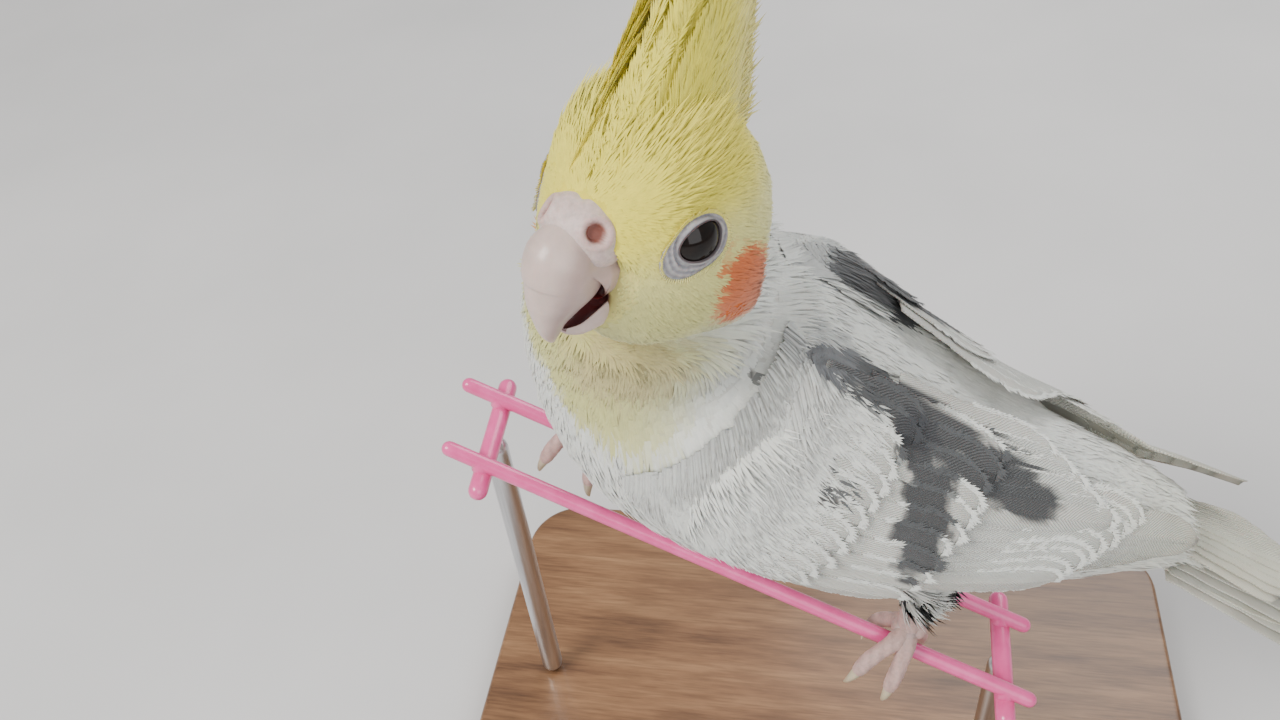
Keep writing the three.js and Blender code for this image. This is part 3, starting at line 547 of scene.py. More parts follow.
def markings_and_shade(points, at, turn):
    """Colour of skin and coat at each place: the markings, with painted shade on the lower face and inside
    the mouth; turn is negative on the right.
    """
    f, u, s = head_local(points)
    colour = plain(WHITE, *np.shape(at))
    colour = blend(colour, CREAM, 0.35 * smoothstep(7.5, 9.2, at))
    wave = 0.25 * np.sin(points[..., 0] * 1.7 + points[..., 2] * 2.3) * np.cos(points[..., 1] * 1.9)
    for dark, hand in ((DARK_LEFT, 1), (DARK_RIGHT, -1)):
        for strength, line in dark:
            weight = near_line(at, turn * hand, line, 0.16) * (turn * hand > -2)
            colour = blend(colour, CHARCOAL if strength > 0.7 else SMUDGE, weight * strength)
    below = np.where(u < -8, lerp(0.74, 0.9, smoothstep(6, 14, np.abs(s))), 0.66)
    out = np.sqrt((f - 1) ** 2 + ((u + 8) * below) ** 2 + s**2)
    head = smoothstep(26.5, 22.5, out + 5 * wave)
    colour = blend(colour, PALE_YELLOW, head * smoothstep(-15, -2, f + 0.7 * np.maximum(u, -12) + 0.1 * out))
    # The lower face is blended towards a darker olive yellow: partly its own colour, partly painted shade
    # from light falling from above.
    shaded_low_face = smoothstep(0, -10, u) * smoothstep(-12, 0, f)
    colour = blend(colour, SHADED_OLIVE_YELLOW, 0.55 * head * shaded_low_face)
    colour = blend(colour, YELLOW, 0.9 * head * smoothstep(-1, 9, u + 0.45 * f - 0.25 * np.abs(s)))
    chin = np.sqrt(((f - 2) / 8.5) ** 2 + ((u + 25) / 7.5) ** 2 + (s / 10.5) ** 2)
    colour = blend(colour, OCHRE, 0.6 * smoothstep(1.25, 0.55, chin + 1.2 * wave))
    lean = f - 0.25 * (u + 5.2)
    cheek = np.hypot((lean + 1.7) / 5.7, (u + 5.6) / 7.2)
    colour = blend(colour, ORANGE, smoothstep(1.12, 0.8, cheek + 0.6 * wave) * (np.abs(s) > 6) * (u > -17))
    # Inside the mouth the colour is its own red, darkened as painted shade in the hollow.
    inside = np.sqrt(((f - 14) / 5.8) ** 2 + ((u + 8) / 3.6) ** 2 + (s / 5) ** 2)
    colour = blend(colour, SHADED_MOUTH_RED, (inside < 1) * 1.0)
    return colour


# A table of the body's surface gives each place its station and turn
table = np.meshgrid(np.arange(0, STATION_COUNT + 0.01, 0.06), np.arange(-180, 180, 4.0), indexing="ij")
table_at, table_turn = (v.ravel() for v in table)
tree = KDTree(len(table_at))
for index, place in enumerate(body_point(table_at, table_turn)):
    tree.insert(place, index)
tree.balance()


def locate(points):
    """Station and turn of the nearest place on the body's surface."""
    found = np.array([tree.find(p)[1] for p in np.asarray(points).reshape(-1, 3)])
    shape = np.shape(points)[:-1]
    return table_at[found].reshape(shape), table_turn[found].reshape(shape)


cut_centre, cut_along = body_frame(HEAD_CUT)[:2]


def head_share(points):
    """0 below the cut between neck and head, 1 above it."""
    return smoothstep(-NECK_PLANE_SOFT, NECK_PLANE_SOFT, (points - cut_centre) @ -cut_along)


def unwrap(points, at, turn):
    """Flat place on the bird's own unrolled surface: body below, head above."""
    f, u, s = head_local(points)
    away = np.arctan2(s, f) / (2 * np.pi) + 0.5
    tall = np.arctan2(u, np.hypot(f, s)) / np.pi + 0.5
    head = np.stack([0.02 + 0.96 * away, 0.66 + 0.32 * tall], -1)
    body = np.stack([0.02 + 0.96 * (turn + 180) / 360, 0.02 + 0.6 * at / STATION_COUNT], -1)
    return np.where((head_share(points) > 0.5)[..., None], head, body)


# Skin: the flesh nodes as one form, with the wing roots and tail root under their feathers
WING_CORE = np.array([
    [3.35, 52, 84, 1.2],
    [3.7, 40, 99, 2.6],
    [4.2, 30, 107, 3.5],
    [4.9, 22, 111, 3.4],
    [5.6, 17, 109, 2.7],
    [6.3, 17, 103, 1.9],
    [7, 22, 95, 1.3],
    [7.7, 34, 84, 1],
])


def plate(rows, columns, point):
    """A thin closed vane: point(row, column, side) on a grid, top and underside."""
    row, column = np.meshgrid(rows, columns, indexing="ij")
    top, under = point(row, column, 1.0), point(row, column, -1.0)
    n, m = len(rows), len(columns)
    points = np.concatenate([top.reshape(-1, 3), under.reshape(-1, 3)])
    upper = grid_faces(n, m)
    lower = grid_faces(n, m, start=n * m)[:, ::-1]
    edge = np.concatenate([
        np.arange(m),
        np.arange(1, n) * m + m - 1,
        (n - 1) * m + np.arange(m - 2, -1, -1),
        np.arange(n - 2, 0, -1) * m,
    ])
    after = np.roll(edge, -1)
    rim = np.stack([after, edge, edge + n * m, after + n * m], -1)
    faces = np.concatenate([upper, lower, rim])
    return points, faces, np.tile(row.ravel(), 2), np.tile(column.ravel(), 2)


def core_part(hand):
    def point(row, column, side):
        at, top, bottom, thick = np.moveaxis(rows_at(WING_CORE, row * (len(WING_CORE) - 1)), -1, 0)
        crown = np.sqrt(np.maximum(0, 1 - (2 * column - 1) ** 2))
        height = np.where(side < 0, -2.0, 0.4 + thick * crown)
        return carrier_point(at, lerp(top, bottom, column), height, hand)

    return plate(np.linspace(0, 1, 30), np.linspace(0, 1, 18), point)[:2]


TAIL = {
    "drop": 28,
    "length": 150,
    "layer": 1.2,
    "graduation": (0, 3, 26, 42, 54, 64),
    "half": (4.6, 5.2, 5.6, 5.6, 5.4, 5),
}
tail_root = body_frame(TAIL_CUT)[0]
tail_slope = math.radians(TAIL["drop"])
tail_along = np.array([0, math.cos(tail_slope), -math.sin(tail_slope)])
tail_up = np.array([0, math.sin(tail_slope), math.cos(tail_slope)])


def tail_point(along, aside, up):
    along, aside, up = np.broadcast_arrays(along, aside, up)
    across = np.array([1.0, 0, 0])
    return tail_root + tail_along * along[..., None] + tail_up * up[..., None] + across * aside[..., None]


def tail_root_part():
    t = np.linspace(0, 1, 12)
    turn = np.linspace(0, 2 * np.pi, 28, endpoint=False)
    wide, over, under = lerp(9.6, 5, t), lerp(4.8, 1, t), lerp(6.6, 4, t)
    tall = np.where(np.cos(turn) > 0, over[:, None], under[:, None])
    rings = tail_point((-6 + 24 * t)[:, None], wide[:, None] * np.sin(turn), tall * np.cos(turn))
    return close_ends(rings), grid_faces(14, 28, wrap=True)


def head_part():
    rows = rows_at(HEAD_STATIONS, np.linspace(0, len(HEAD_STATIONS) - 1, 44))
    turn = np.linspace(0, 2 * np.pi, 72, endpoint=False)
    f, u, tall, wide = (rows[:, k, None] for k in range(4))
    rings = close_ends(head_point(f, u + tall * np.cos(turn), wide * np.sin(turn)))
    return rings, grid_faces(46, 72, wrap=True)


def read_mesh(mesh):
    """Points, normals and triangles of a mesh, in the bird's frame."""
    points = np.empty(len(mesh.vertices) * 3)
    mesh.vertices.foreach_get("co", points)
    normals = np.empty(len(mesh.vertices) * 3)
    mesh.vertices.foreach_get("normal", normals)
    mesh.calc_loop_triangles()
    triangles = np.empty(len(mesh.loop_triangles) * 3, np.int32)
    mesh.loop_triangles.foreach_get("vertices", triangles)
    return points.reshape(-1, 3) * 1000 - SHIFT, normals.reshape(-1, 3), triangles.reshape(-1, 3)


# Full cheeks and brow and a slim nape: middle, direction outwards, height and reach
SWELLINGS = [
    ((-5, -11.5, 12), (-0.45, -0.45, 0.77), 2.8, 6.5),
    ((9, 10, 6.5), (0.5, 0.35, 0.8), 1.8, 5),
    ((-17, -17, 12), (-0.45, -0.45, 0.77), -2.2, 6),
]


def make_skin():
    """Voxel-joined, smoothed form of the flesh, drawn in by the coat's depth."""
    parts = []
    for name in ("torso", "neck", "thigh_left", "thigh_right"):
        points, normals, triangles = read_mesh(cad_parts[name].data)
        parts.append((points + normals * 0.2, triangles))
    for points, faces in (head_part(), core_part(1), core_part(-1), tail_root_part()):
        parts.append((points, np.concatenate([faces[:, [0, 1, 2]], faces[:, [0, 2, 3]]])))
    rough = piece("skin_rough", *gather(parts), SKIN, "plumage_white")
    for kind, settings in (
        ("REMESH", {"mode": "VOXEL", "voxel_size": VOXEL}),
        ("SMOOTH", {"factor": 0.5, "iterations": SMOOTH_STEPS}),
        ("DISPLACE", {"strength": -COAT_DEPTH, "mid_level": 0}),
    ):
        step = rough.modifiers.new(kind.lower(), kind)
        for key, value in settings.items():
            setattr(step, key, value)
    shaped = rough.evaluated_get(bpy.context.evaluated_depsgraph_get()).to_mesh()
    points, normals, triangles = read_mesh(shaped)
    bpy.data.objects.remove(rough, do_unlink=True)
    f, u, s = head_local(points)
    share = 1 - ((u - MOUTH[1]) / MOUTH[3]) ** 2 - (s / MOUTH[4]) ** 2
    back = MOUTH[0] - MOUTH[2] * np.sqrt(np.maximum(share, 0))
    push = np.where((share > 0) & (f > 10), np.maximum(f - back, 0), 0)
    beside_bill = 13.1 + 4.5 * smoothstep(-1.5, 4, u) + 1.2 * smoothstep(-9, -13, u)
    push = np.maximum(push, np.maximum(f - beside_bill, 0) * smoothstep(11, 8.5, np.abs(s)))
    points = points - head_way(1, 0, 0) * push[:, None]
    for middle, way, height, reach in SWELLINGS:
        gap = np.sqrt((f - middle[0]) ** 2 + (u - middle[1]) ** 2 + (np.abs(s) - middle[2]) ** 2)
        outwards = head_way(way[0], way[1], way[2] * np.sign(s))
        points = points + outwards * (height * np.exp(-((gap / reach) ** 2)))[:, None]
    return points, unit(normals), triangles


skin_points, skin_normals, skin_faces = make_skin()
skin_tree = BVHTree.FromPolygons(skin_points.tolist(), skin_faces.tolist())


# Tufts: each is a fan of thin closed barbs that lie along the body
def scatter(cell, keep):
    """Places spread evenly over the skin, about one in each cell, where keep says so."""
    a, b, c = (skin_points[skin_faces[:, k]] for k in range(3))
    area = np.linalg.norm(np.cross(b - a, c - a), axis=1) / 2
    wanted = int(area.sum() / cell**2 * 4)
    chosen = random.choice(len(area), wanted, p=area / area.sum())
    r1, r2 = np.sqrt(random.random(wanted)), random.random(wanted)
    weights = np.stack([1 - r1, r1 * (1 - r2), r1 * r2], -1)
    corners = skin_faces[chosen]
    points = (skin_points[corners] * weights[..., None]).sum(1)
    cells = np.floor(points / cell).astype(np.int64)
    key = (cells[:, 0] * 73856093) ^ (cells[:, 1] * 19349663) ^ (cells[:, 2] * 83492791)
    _, first = np.unique(key, return_index=True)
    points = points[first]
    normals = unit((skin_normals[corners[first]] * weights[first][..., None]).sum(1))
    chosen = keep(points)
    return points[chosen], normals[chosen]


def lie_of(points, normals, at):
    """Direction that the coat lies in: back over the head, then down the body."""
    f, u, s = head_local(points)
    body = body_frame(at)[1]
    lift = smoothstep(3, 13, u) * smoothstep(-9, 4, f)
    rise = -0.35 + lift - 0.45 * smoothstep(0, 10, f) * (u < 0)
    back = head_way(-1 + 0.55 * lift, rise, 0.16 * np.sign(s))
    way = lerp(body, unit(back), head_share(points)[..., None])
    way = way - normals * (way * normals).sum(-1, keepdims=True)
    return unit(way)


BARB_SPREAD = 0.25
BARB_PLACES = np.array([0, 0.62, 1.0])
BARB_FACES = np.array([
    (0, 2, 1), (2, 0, 3), (2, 3, 5), (1, 2, 5), (1, 5, 4),
    (0, 1, 4), (0, 4, 3), (5, 3, 6), (4, 5, 6), (3, 4, 6),
])


def barbs(roots, ways, normals, length, width, count, lift, curl, thick):
    """Solid fans: count barbs side by side from each root. Returns points, faces and the root of each point.

    A barb is two triangular rings and a tip.
    """
    n = len(roots)
    side = unit(np.cross(normals, ways))
    x = np.linspace(-1, 1, count) if count > 1 else np.zeros(1)
    x = x[None] + random.normal(0, 0.12, (n, count))
    reach = length[:, None] * (1 - 0.22 * x**2) * random.uniform(0.86, 1.1, (n, count))
    s = BARB_PLACES
    half = (width / max(count, 1))[:, None, None] * 0.78 * (1 - 0.55 * s**2)
    offset = x[..., None] * (width / 2)[:, None, None] * (0.45 + 0.55 * s)
    offset = offset + x[..., None] * BARB_SPREAD * reach[..., None] * s**2 * 0.5
    rise = lift[:, None, None] * reach[..., None] * (s - np.reshape(curl, (-1, 1, 1)) * s**2)
    rise = rise + random.normal(0, 0.03, (n, count, 1)) * reach[..., None] * s
    line = (
        roots[:, None, None]
        + ways[:, None, None] * (reach[..., None] * s)[..., None]
        + side[:, None, None] * offset[..., None]
        + normals[:, None, None] * rise[..., None]
    )
    left = line[:, :, :2] - side[:, None, None] * half[..., :2, None]
    right = line[:, :, :2] + side[:, None, None] * half[..., :2, None]
    ridge = line[:, :, :2] + normals[:, None, None] * np.reshape(thick, (-1, 1, 1, 1))
    points = np.stack([left, right, ridge], 3).reshape(n * count, 6, 3)
    points = np.concatenate([points, line[:, :, 2].reshape(n * count, 1, 3)], 1)
    faces = BARB_FACES[None] + np.arange(n * count)[:, None, None] * 7
    return points.reshape(-1, 3), faces.reshape(-1, 3), np.repeat(np.arange(n), count * 7)


def coat(name, roots, normals, ways, tints, slot, soft=0.85, facing=None, **shape):
    """Coat pieces, each under the triangle limit, with a bake patch at each tuft's root.

    Soft is how far the barbs are shaded as the smooth surface they lie on, which faces the way facing says.
    """
    facing = normals if facing is None else facing
    soft = np.broadcast_to(soft, len(roots))
    at, turn = locate(roots)
    centre = unwrap(roots, at, turn)
    limit = PIECE_TRIANGLES // (shape["count"] * len(BARB_FACES))
    for number, first in enumerate(range(0, len(roots), limit)):
        part = slice(first, first + limit)
        local = {k: (v[part] if isinstance(v, np.ndarray) else v) for k, v in shape.items()}
        points, faces, owner = barbs(roots[part], ways[part], normals[part], **local)
        away = points - roots[part][owner]
        side = np.cross(normals[part], ways[part])[owner]
        flat = np.stack([(away * side).sum(-1), (away * ways[part][owner]).sum(-1)], -1)
        patch = centre[part][owner] + np.clip(flat / 9.0, -1, 1) * BAKE_PATCH
        tone = random.uniform(0.93, 1.03, (len(roots[part]), 1))[owner]
        corner = points[faces]
        flat_normal = np.cross(corner[:, 1] - corner[:, 0], corner[:, 2] - corner[:, 0])
        own = np.zeros_like(points)
        for k in range(3):
            np.add.at(own, faces[:, k], flat_normal)
        shade = unit(lerp(unit(own), facing[part][owner], soft[part][owner][:, None]))
        tint = tints[part][owner] * tone
        piece(f"{name}_{number + 1}", points, faces, PLUMAGE, slot, tint=tint, bake=patch, shade=shade)


# Eyes: where they sit, and the bare skin round them
def eye_axes(hand):
    """Forwards and up along the opening, and out of the head."""
    out = unit(head_way(*EYE_WAY[:2], EYE_WAY[2] * hand))
    level = head_way(1, 0, 0)
    level = unit(level - out * (level @ out))
    over = np.cross(out, level)
    over = over if over @ head_way(0, 1, 0) > 0 else -over
    tilt = math.radians(-EYE_OPENING[2])
    return level * math.cos(tilt) + over * math.sin(tilt), over * math.cos(tilt) - level * math.sin(tilt), out


def eye_centre(hand):
    """The eyeball's centre, set so that its opening is level with the skin."""
    hit = skin_tree.ray_cast(Vector(head_point(*EYE, 30 * hand)), Vector(head_way(0, 0, -hand)))
    depth = math.sqrt(EYE_RADIUS**2 - EYE_OPENING[0] * EYE_OPENING[1]) - 0.1
    return np.array(hit[0]) - eye_axes(hand)[2] * depth


def eye_edges(turn):
    """Radius of the opening and of the bare skin round it, all round the eye."""
    inner = 1 / np.sqrt((np.cos(turn) / EYE_OPENING[0]) ** 2 + (np.sin(turn) / EYE_OPENING[1]) ** 2)
    towards_bill = np.maximum(0, np.cos(turn + 0.3)) ** 5
    return inner, inner + 1.0 + 2.2 * towards_bill + 0.5 * np.maximum(0, -np.sin(turn))


def eye_gaps(points, hand):
    """Distances outside the opening and outside the bare skin, and height over the eye's centre."""
    local = points - eye_centre(hand)
    fore, up, out = eye_axes(hand)
    x, y = local @ fore, local @ up
    inner, outer = eye_edges(np.arctan2(y, x))
    return np.hypot(x, y) - inner, np.hypot(x, y) - outer, local @ out


def sink_round_eyes(points):
    """Skin drawn in behind the lids, so that it stays under the eyeball and the bare ring."""
    for hand, _ in HANDS:
        away, _, z = eye_gaps(points, hand)
        points = points - eye_axes(hand)[2] * (1.2 * smoothstep(1.1, 0.4, away) * (z > -1))[:, None]
    return points


def bare_places(points):
    """Bill, cere, mouth and eyes carry no feathers."""
    f, u, s = head_local(points)
    bare = np.sqrt(((f - 14.4) / 5.3) ** 2 + ((u - 1.6) / 5.4) ** 2 + (s / 6.4) ** 2) < 1
    bare |= (f > 12.2) & (u <= -1.5) & (u > -13.6) & (np.abs(s) < 6 - 0.3 * np.maximum(0, -8 - u))
    for hand, _ in HANDS:
        _, gap, z = eye_gaps(points, hand)
        bare |= (gap < -0.35) & (z > -2)
    return bare


def under_vanes(at, turn):
    """The wings' long feathers hide the coat here."""
    side = np.abs(turn)
    return (at > 5.3) & (at < 8.6) & (side > 26) & (side < 92)


def body_keep(points):
    at, turn = locate(points)
    return (head_share(points) < 0.62) & ~under_vanes(at, turn) & (at < 10.4)


def head_keep(points):
    return (head_share(points) > 0.38) & ~bare_places(points)


at, turn = locate(skin_points)
# The skin under the coat takes the coat's colours a tenth darker: painted shade under the feathers.
piece(
    "skin", sink_round_eyes(skin_points), skin_faces, SKIN, "plumage_white",
    replaced=("torso", "neck", "head", "thigh_left", "thigh_right"),
    tint=markings_and_shade(skin_points, at, turn) * 0.9, bake=unwrap(skin_points, at, turn),
)
roots, normals = scatter(BODY_CELL, body_keep)
at, turn = locate(roots)
ways = lie_of(roots, normals, at)
ruff = smoothstep(75, 35, np.abs(turn)) * smoothstep(3.0, 1.6, at)
throat = smoothstep(2.4, 1.4, at) * (1 - ruff)
coat(
    "body_coat", roots, normals, ways, markings_and_shade(roots, at, turn), "plumage_white",
    length=random.uniform(5.5, 8.2, len(roots)) * (1 + 0.25 * ruff) * (1 - 0.4 * throat),
    width=random.uniform(2.1, 2.8, len(roots)) * (1 - 0.35 * throat), count=5,
    lift=0.08 + 0.32 * ruff * random.random(len(roots)) - 0.03 * throat, curl=0.8, thick=0.12 - 0.04 * throat,
)
roots, normals = scatter(HEAD_CELL, head_keep)
at, turn = locate(roots)
ways = lie_of(roots, normals, at)
f, u, s = head_local(roots)
crown = smoothstep(6, 14, u) * smoothstep(-6, 4, f)
cheek = np.hypot((f + 2.2) / 5.5, (u + 6.6) / 7.5) < 1
face = smoothstep(7, 14, f)
beside_eye = np.ones(len(roots))
for hand, _ in HANDS:
    _, gap, z = eye_gaps(roots, hand)
    beside_eye = np.where(z > -4, np.minimum(beside_eye, lerp(0.4, 1, smoothstep(0, 2.6, gap))), beside_eye)
coat(
    "head_coat", roots, normals, ways, markings_and_shade(roots, at, turn), "plumage_face",
    length=random.uniform(2.7, 3.9, len(roots)) * (1 + 1.3 * crown + 0.3 * cheek - 0.5 * face) * beside_eye,
    width=random.uniform(0.8, 1.05, len(roots)) * (1 - 0.25 * face), count=3,
    lift=0.12 + 0.45 * crown + 0.06 * cheek + 0.15 * smoothstep(6, 9, u) * smoothstep(2, 8, f),
    curl=0.7 - 0.3 * crown, thick=0.07,
)


# Lesser coverts: small soft feathers that hide the roots of the wing's tiers
for hand, side_name in HANDS:
    count = LESSER_COVERTS
    at = random.uniform(3.0, 5.0, count)
    turn = random.uniform(14, 107, count)
    rim = smoothstep(0, 14, turn - 14) * smoothstep(0, 12, 107 - turn)
    height = 0.2 + 3.6 * smoothstep(2.9, 4.3, at) * rim
    roots = carrier_point(at, turn, height, hand)
    normals = unit(carrier_point(at, turn, height + 1, hand) - roots)
    ways = unit(carrier_point(at + 0.1, turn + 0.6, height + 0.12, hand) - roots)
    coat(
        f"lesser_coverts_{side_name}", roots, normals, ways, markings_and_shade(roots, at, turn * hand), "plumage_grey",
        length=random.uniform(5, 7.4, count), width=random.uniform(2.2, 2.9, count), count=5,
        lift=np.full(count, 0.07), curl=0.9, thick=0.12,
    )

# Wing feathers in tiers, finer than the solids' own. Each tier has its count, the station and turn of its
# first and last roots and tips, half-widths, heights over the carrier, and rise towards the tips
WING_REACH = {1: 9.7, -1: 11}
WING_TIERS = [
    ("primaries", 8, [(6.6, 82), (6.9, 58)], [(8.7, 74), (None, 50)], (4.6, 4.2), (1.0, 2.4), 0.2),
    ("secondaries", 9, [(5.9, 95), (6.3, 46)], [(7.8, 88), (8.7, 44)], (4.3, 4.6), (2.1, 2.4), 0.4),
    ("tertials", 5, [(5.3, 50), (5.4, 22)], [(8.3, 48), (7.4, 21)], (4.6, 4.6), (2.8, 3.0), 0.4),
    ("greater_coverts", 11, [(4.9, 100), (5, 26)], [(6.3, 101), (6.8, 29)], (3.4, 3.6), (3.2, 3.3), 0.5),
    ("median_coverts", 12, [(4.25, 98), (4.3, 30)], [(5.35, 99), (5.7, 30)], (2.9, 3.2), (3.5, 3.6), 0.5),
]
VANE_TILT = 0.6
VANE_COLUMNS = np.array([-1, -0.88, -0.66, -0.4, -0.16, -0.05, 0.05, 0.16, 0.4, 0.66, 0.88, 1])


def vane_width(t):
    return np.where(t < 0.72, lerp(0.7, 1, t / 0.72), np.sqrt(np.maximum(0.0, 1 - ((t - 0.72) / 0.285) ** 2)))


def frayed(row, column, seed):
    """Small splits along the edge of a vane."""
    wave = np.sin(row * (31 + seed % 7) + seed) * np.sin(row * (17 + seed % 5) + 2.1 * seed)
    return 1 - 0.09 * smoothstep(0.35, 0.8, wave) * np.abs(column) ** 2


def wing_part(hand):
    parts, fringe = [], []
    for number, (_, count, root, tip, half, low, rise) in enumerate(WING_TIERS):
        for k in range(count):
            t = k / (count - 1)
            root_at, root_turn = lerp(root[0][0], root[1][0], t), lerp(root[0][1], root[1][1], t)
            reach = tip[1][0] or WING_REACH[hand]
            tip_at = lerp(tip[0][0], reach, t) + random.uniform(-0.05, 0.05)
            tip_turn = lerp(tip[0][1], tip[1][1], t) + random.uniform(-1, 1)
            width, base = lerp(half[0], half[1], t), lerp(low[0], low[1], t)
            seed = random.uniform(0, 40)

            def place(row, column, side):
                at = lerp(root_at, tip_at, row)
                turn = lerp(root_turn, tip_turn, row**1.2)
                girth = np.maximum(body_frame(at)[4], CARRIER_MIN_WIDTH)
                spread = np.degrees(width * vane_width(row) * frayed(row, column, seed) / girth)
                crown = 0.28 * (1 - column**2) + 0.16 * np.exp(-((column / 0.1) ** 2))
                height = base + rise * row + crown - VANE_TILT * column * (0.5 + 0.5 * row)
                return carrier_point(at, turn + spread * column, height + side * 0.14, hand)

            points, faces, row, column = plate(np.linspace(0, 1, 34), VANE_COLUMNS, place)
            long = np.linalg.norm(points[12 * 33] - points[0])
            lie = np.stack([column * width, row * long], -1)
            shift = np.array([random.uniform(-0.09, 0.09), random.uniform(-3.5, 3.5)])
            tier = np.tile([float(number), *shift], (len(points), 1))
            parts.append((points, faces, lie, row, column, tier))
            if number < 1:
                continue
            grid = np.meshgrid(np.linspace(0.5, 0.995, 22), (-0.97, 0.97), indexing="ij")
            row, column = (v.ravel() for v in grid)
            row = np.concatenate([row, np.full(9, 0.985)])
            column = np.concatenate([column, np.linspace(-0.9, 0.9, 9)])
            edge = place(row, column, 0.5)
            along = unit(edge - place(row - 0.03, column, 0.5))
            outward = unit(edge - place(row, column * 0.8 + 1e-3, 0.5)) * (0.5 * np.abs(column))[:, None]
            up = unit(place(row, column, 12.0) - edge)
            fringe.append((edge, unit(along + outward), up, np.tile(shift, (len(edge), 1))))
    return gather(parts), [np.concatenate(column) for column in zip(*fringe)]


def wing_tint(points, shift, hand):
    """Each feather takes its own colour, so that the patches break up along the feathers' edges."""
    at, turn = locate(points)
    return markings_and_shade(points, at + shift[:, 0], turn + shift[:, 1] * hand)


for hand, side_name in HANDS:
    (points, faces, lie, row, column, tier), (edges, edge_ways, edge_ups, edge_shift) = wing_part(hand)
    at, turn = locate(points)
    tint = wing_tint(points, tier[:, 1:], hand) * (1 - 0.05 * row)[:, None]
    quill = (tier[:, 0] < 1) * smoothstep(0.55, 0.95, row)
    tint = blend(tint, OLIVE, 0.3 * quill)
    piece(
        f"wing_feathers_{side_name}", points, faces, VANE, "plumage_grey", replaced=(f"wing_{side_name}",),
        tint=tint, bake=unwrap(points, at, turn), lie=lie,
    )
    count = len(edges)
    coat(
        f"wing_fringe_{side_name}", edges, edge_ups, edge_ways, wing_tint(edges, edge_shift, hand),
        "plumage_grey", length=random.uniform(1.0, 2.2, count), width=np.full(count, 0.8), count=3,
        lift=np.full(count, 0.05), curl=1.0, thick=0.07,
    )


# Tail feathers and their coverts
def tail_part():
    parts = []
    rows = np.linspace(0, 1, 30)
    for pair in range(6):
        for hand in (1, -1):
            length = TAIL["length"] - TAIL["graduation"][pair]
            low = 0.4 - pair * TAIL["layer"] - (TAIL["layer"] / 2 if hand < 0 else 0)
            splay = math.radians(0.6 + pair * 1.15) * hand
            seed = random.uniform(0, 40)

            def point(row, column, side):
                along = lerp(5, length, row)
                tip = lerp(1, 0.1, (np.maximum(row - 0.55, 0) / 0.45) ** 1.9)
                taper = np.where(row < 0.55, lerp(0.55, 1, row / 0.55), tip)
                spread = TAIL["half"][pair] * taper * frayed(row, column, seed)
                middle = hand * (0.8 + pair * 0.9) + along * math.sin(splay)
                crown = 0.25 * (1 - column**2) + 0.2 * np.exp(-((column / 0.1) ** 2))
                droop = 1.6 * row * row * (0.6 if pair == 0 else 1)
                return tail_point(along, middle + spread * column, low + crown - droop + side * 0.14)

            points, faces, row, column = plate(rows, VANE_COLUMNS, point)
            lie = np.stack([column * TAIL["half"][pair], row * length], -1)
            shade = np.full(len(points), float(pair)) + 0.5 * (column * hand > 0.3)
            parts.append((points, faces, lie, row, shade))
    for over in (True, False):
        for k in range(9):
            aside = lerp(-1, 1, k / 8)
            length = 34 - 9 * abs(aside) if over else 40 - 8 * abs(aside)
            lift = 3.1 - 1.5 * aside**2 if over else -6.6 + 1.8 * aside**2
            seed = random.uniform(0, 40)

            def point(row, column, side):
                along = lerp(1, length, row)
                middle = aside * lerp(4.5, 7.5, row)
                close = (-0.9 if over else 0.6) * row
                tilt = 0.3 * column * np.sign(aside) * (-1 if over else 1)
                width = 3.2 * vane_width(row) * frayed(row, column, seed)
                return tail_point(along, middle + width * column, lift + close + tilt + side * 0.14)

            points, faces, row, column = plate(np.linspace(0, 1, 14), VANE_COLUMNS, point)
            lie = np.stack([column * 3.2, row * length], -1)
            parts.append((points, faces, lie, row, np.full(len(points), -1.0)))
    return gather(parts)


points, faces, lie, row, shade = tail_part()
tint = blend(plain(WHITE, len(points)), CREAM, np.full(len(points), 0.3))
tint = blend(tint, OLIVE, 0.5 * (shade > 3.2) * (shade % 1 > 0.3) * smoothstep(0.1, 0.4, row))
tint = blend(tint, CREAM, 0.5 * (shade < 0))
bake = np.stack([0.1 + 0.8 * (points[:, 0] + 20) / 40, 0.02 + 0.6 * np.clip(points[:, 1] / 190, 0, 1)], -1)
piece(
    "tail_feathers", points, faces, VANE, "plumage_white", replaced=("tail",), tint=tint, bake=bake, lie=lie
)


# Crest: plumes with barbs on both sides of a shaft
def plume_line(f0, s0, length, lean, curl, lean_in, t):
    angle = np.radians(lean + curl * t * t)
    u0 = 15.2 - 0.045 * (f0 + 1) ** 2 - 0.035 * s0**2
    f = f0 - np.sin(angle) * length * t
    u = u0 + np.cos(angle) * length * t
    return head_point(f, u, s0 + length * t * np.sin(np.radians(lean_in)))


CREST_ROWS = 10
CREST_FILES = (-2, -1, 0, 1, 2)
PLUME_STEPS = 30
REAR_PLUMES = -6.0  # behind this, barbs stand out to the rear


def crest_plumes():
    plumes = []
    for k in range(CREST_ROWS):
        t = k / (CREST_ROWS - 1)
        for file in CREST_FILES:
            aside = file / 2
            f0 = lerp(14.4, -8.9, t) - 2.2 * abs(aside) + random.uniform(-0.5, 0.5)
            s0 = aside * lerp(4.6, 7.4, math.sin(math.pi * t)) + random.uniform(-0.4, 0.4)
            rise = math.sin(math.pi * 0.5 * min(1, t * 1.45))
            length = lerp(15, 47, rise) * (1 - 0.2 * aside**2) - 8 * t + random.uniform(-3, 2)
            lean = lerp(25, -10, t) + 1.5 * abs(aside) + random.uniform(-2, 2)
            curl = lerp(3, 5, t) + random.uniform(-2, 4)
            lean_in = -aside * lerp(5.5, 7.5, t) + random.uniform(-1, 1)
            plumes.append((aside, f0, s0, length, lean, curl, lean_in))
    return plumes


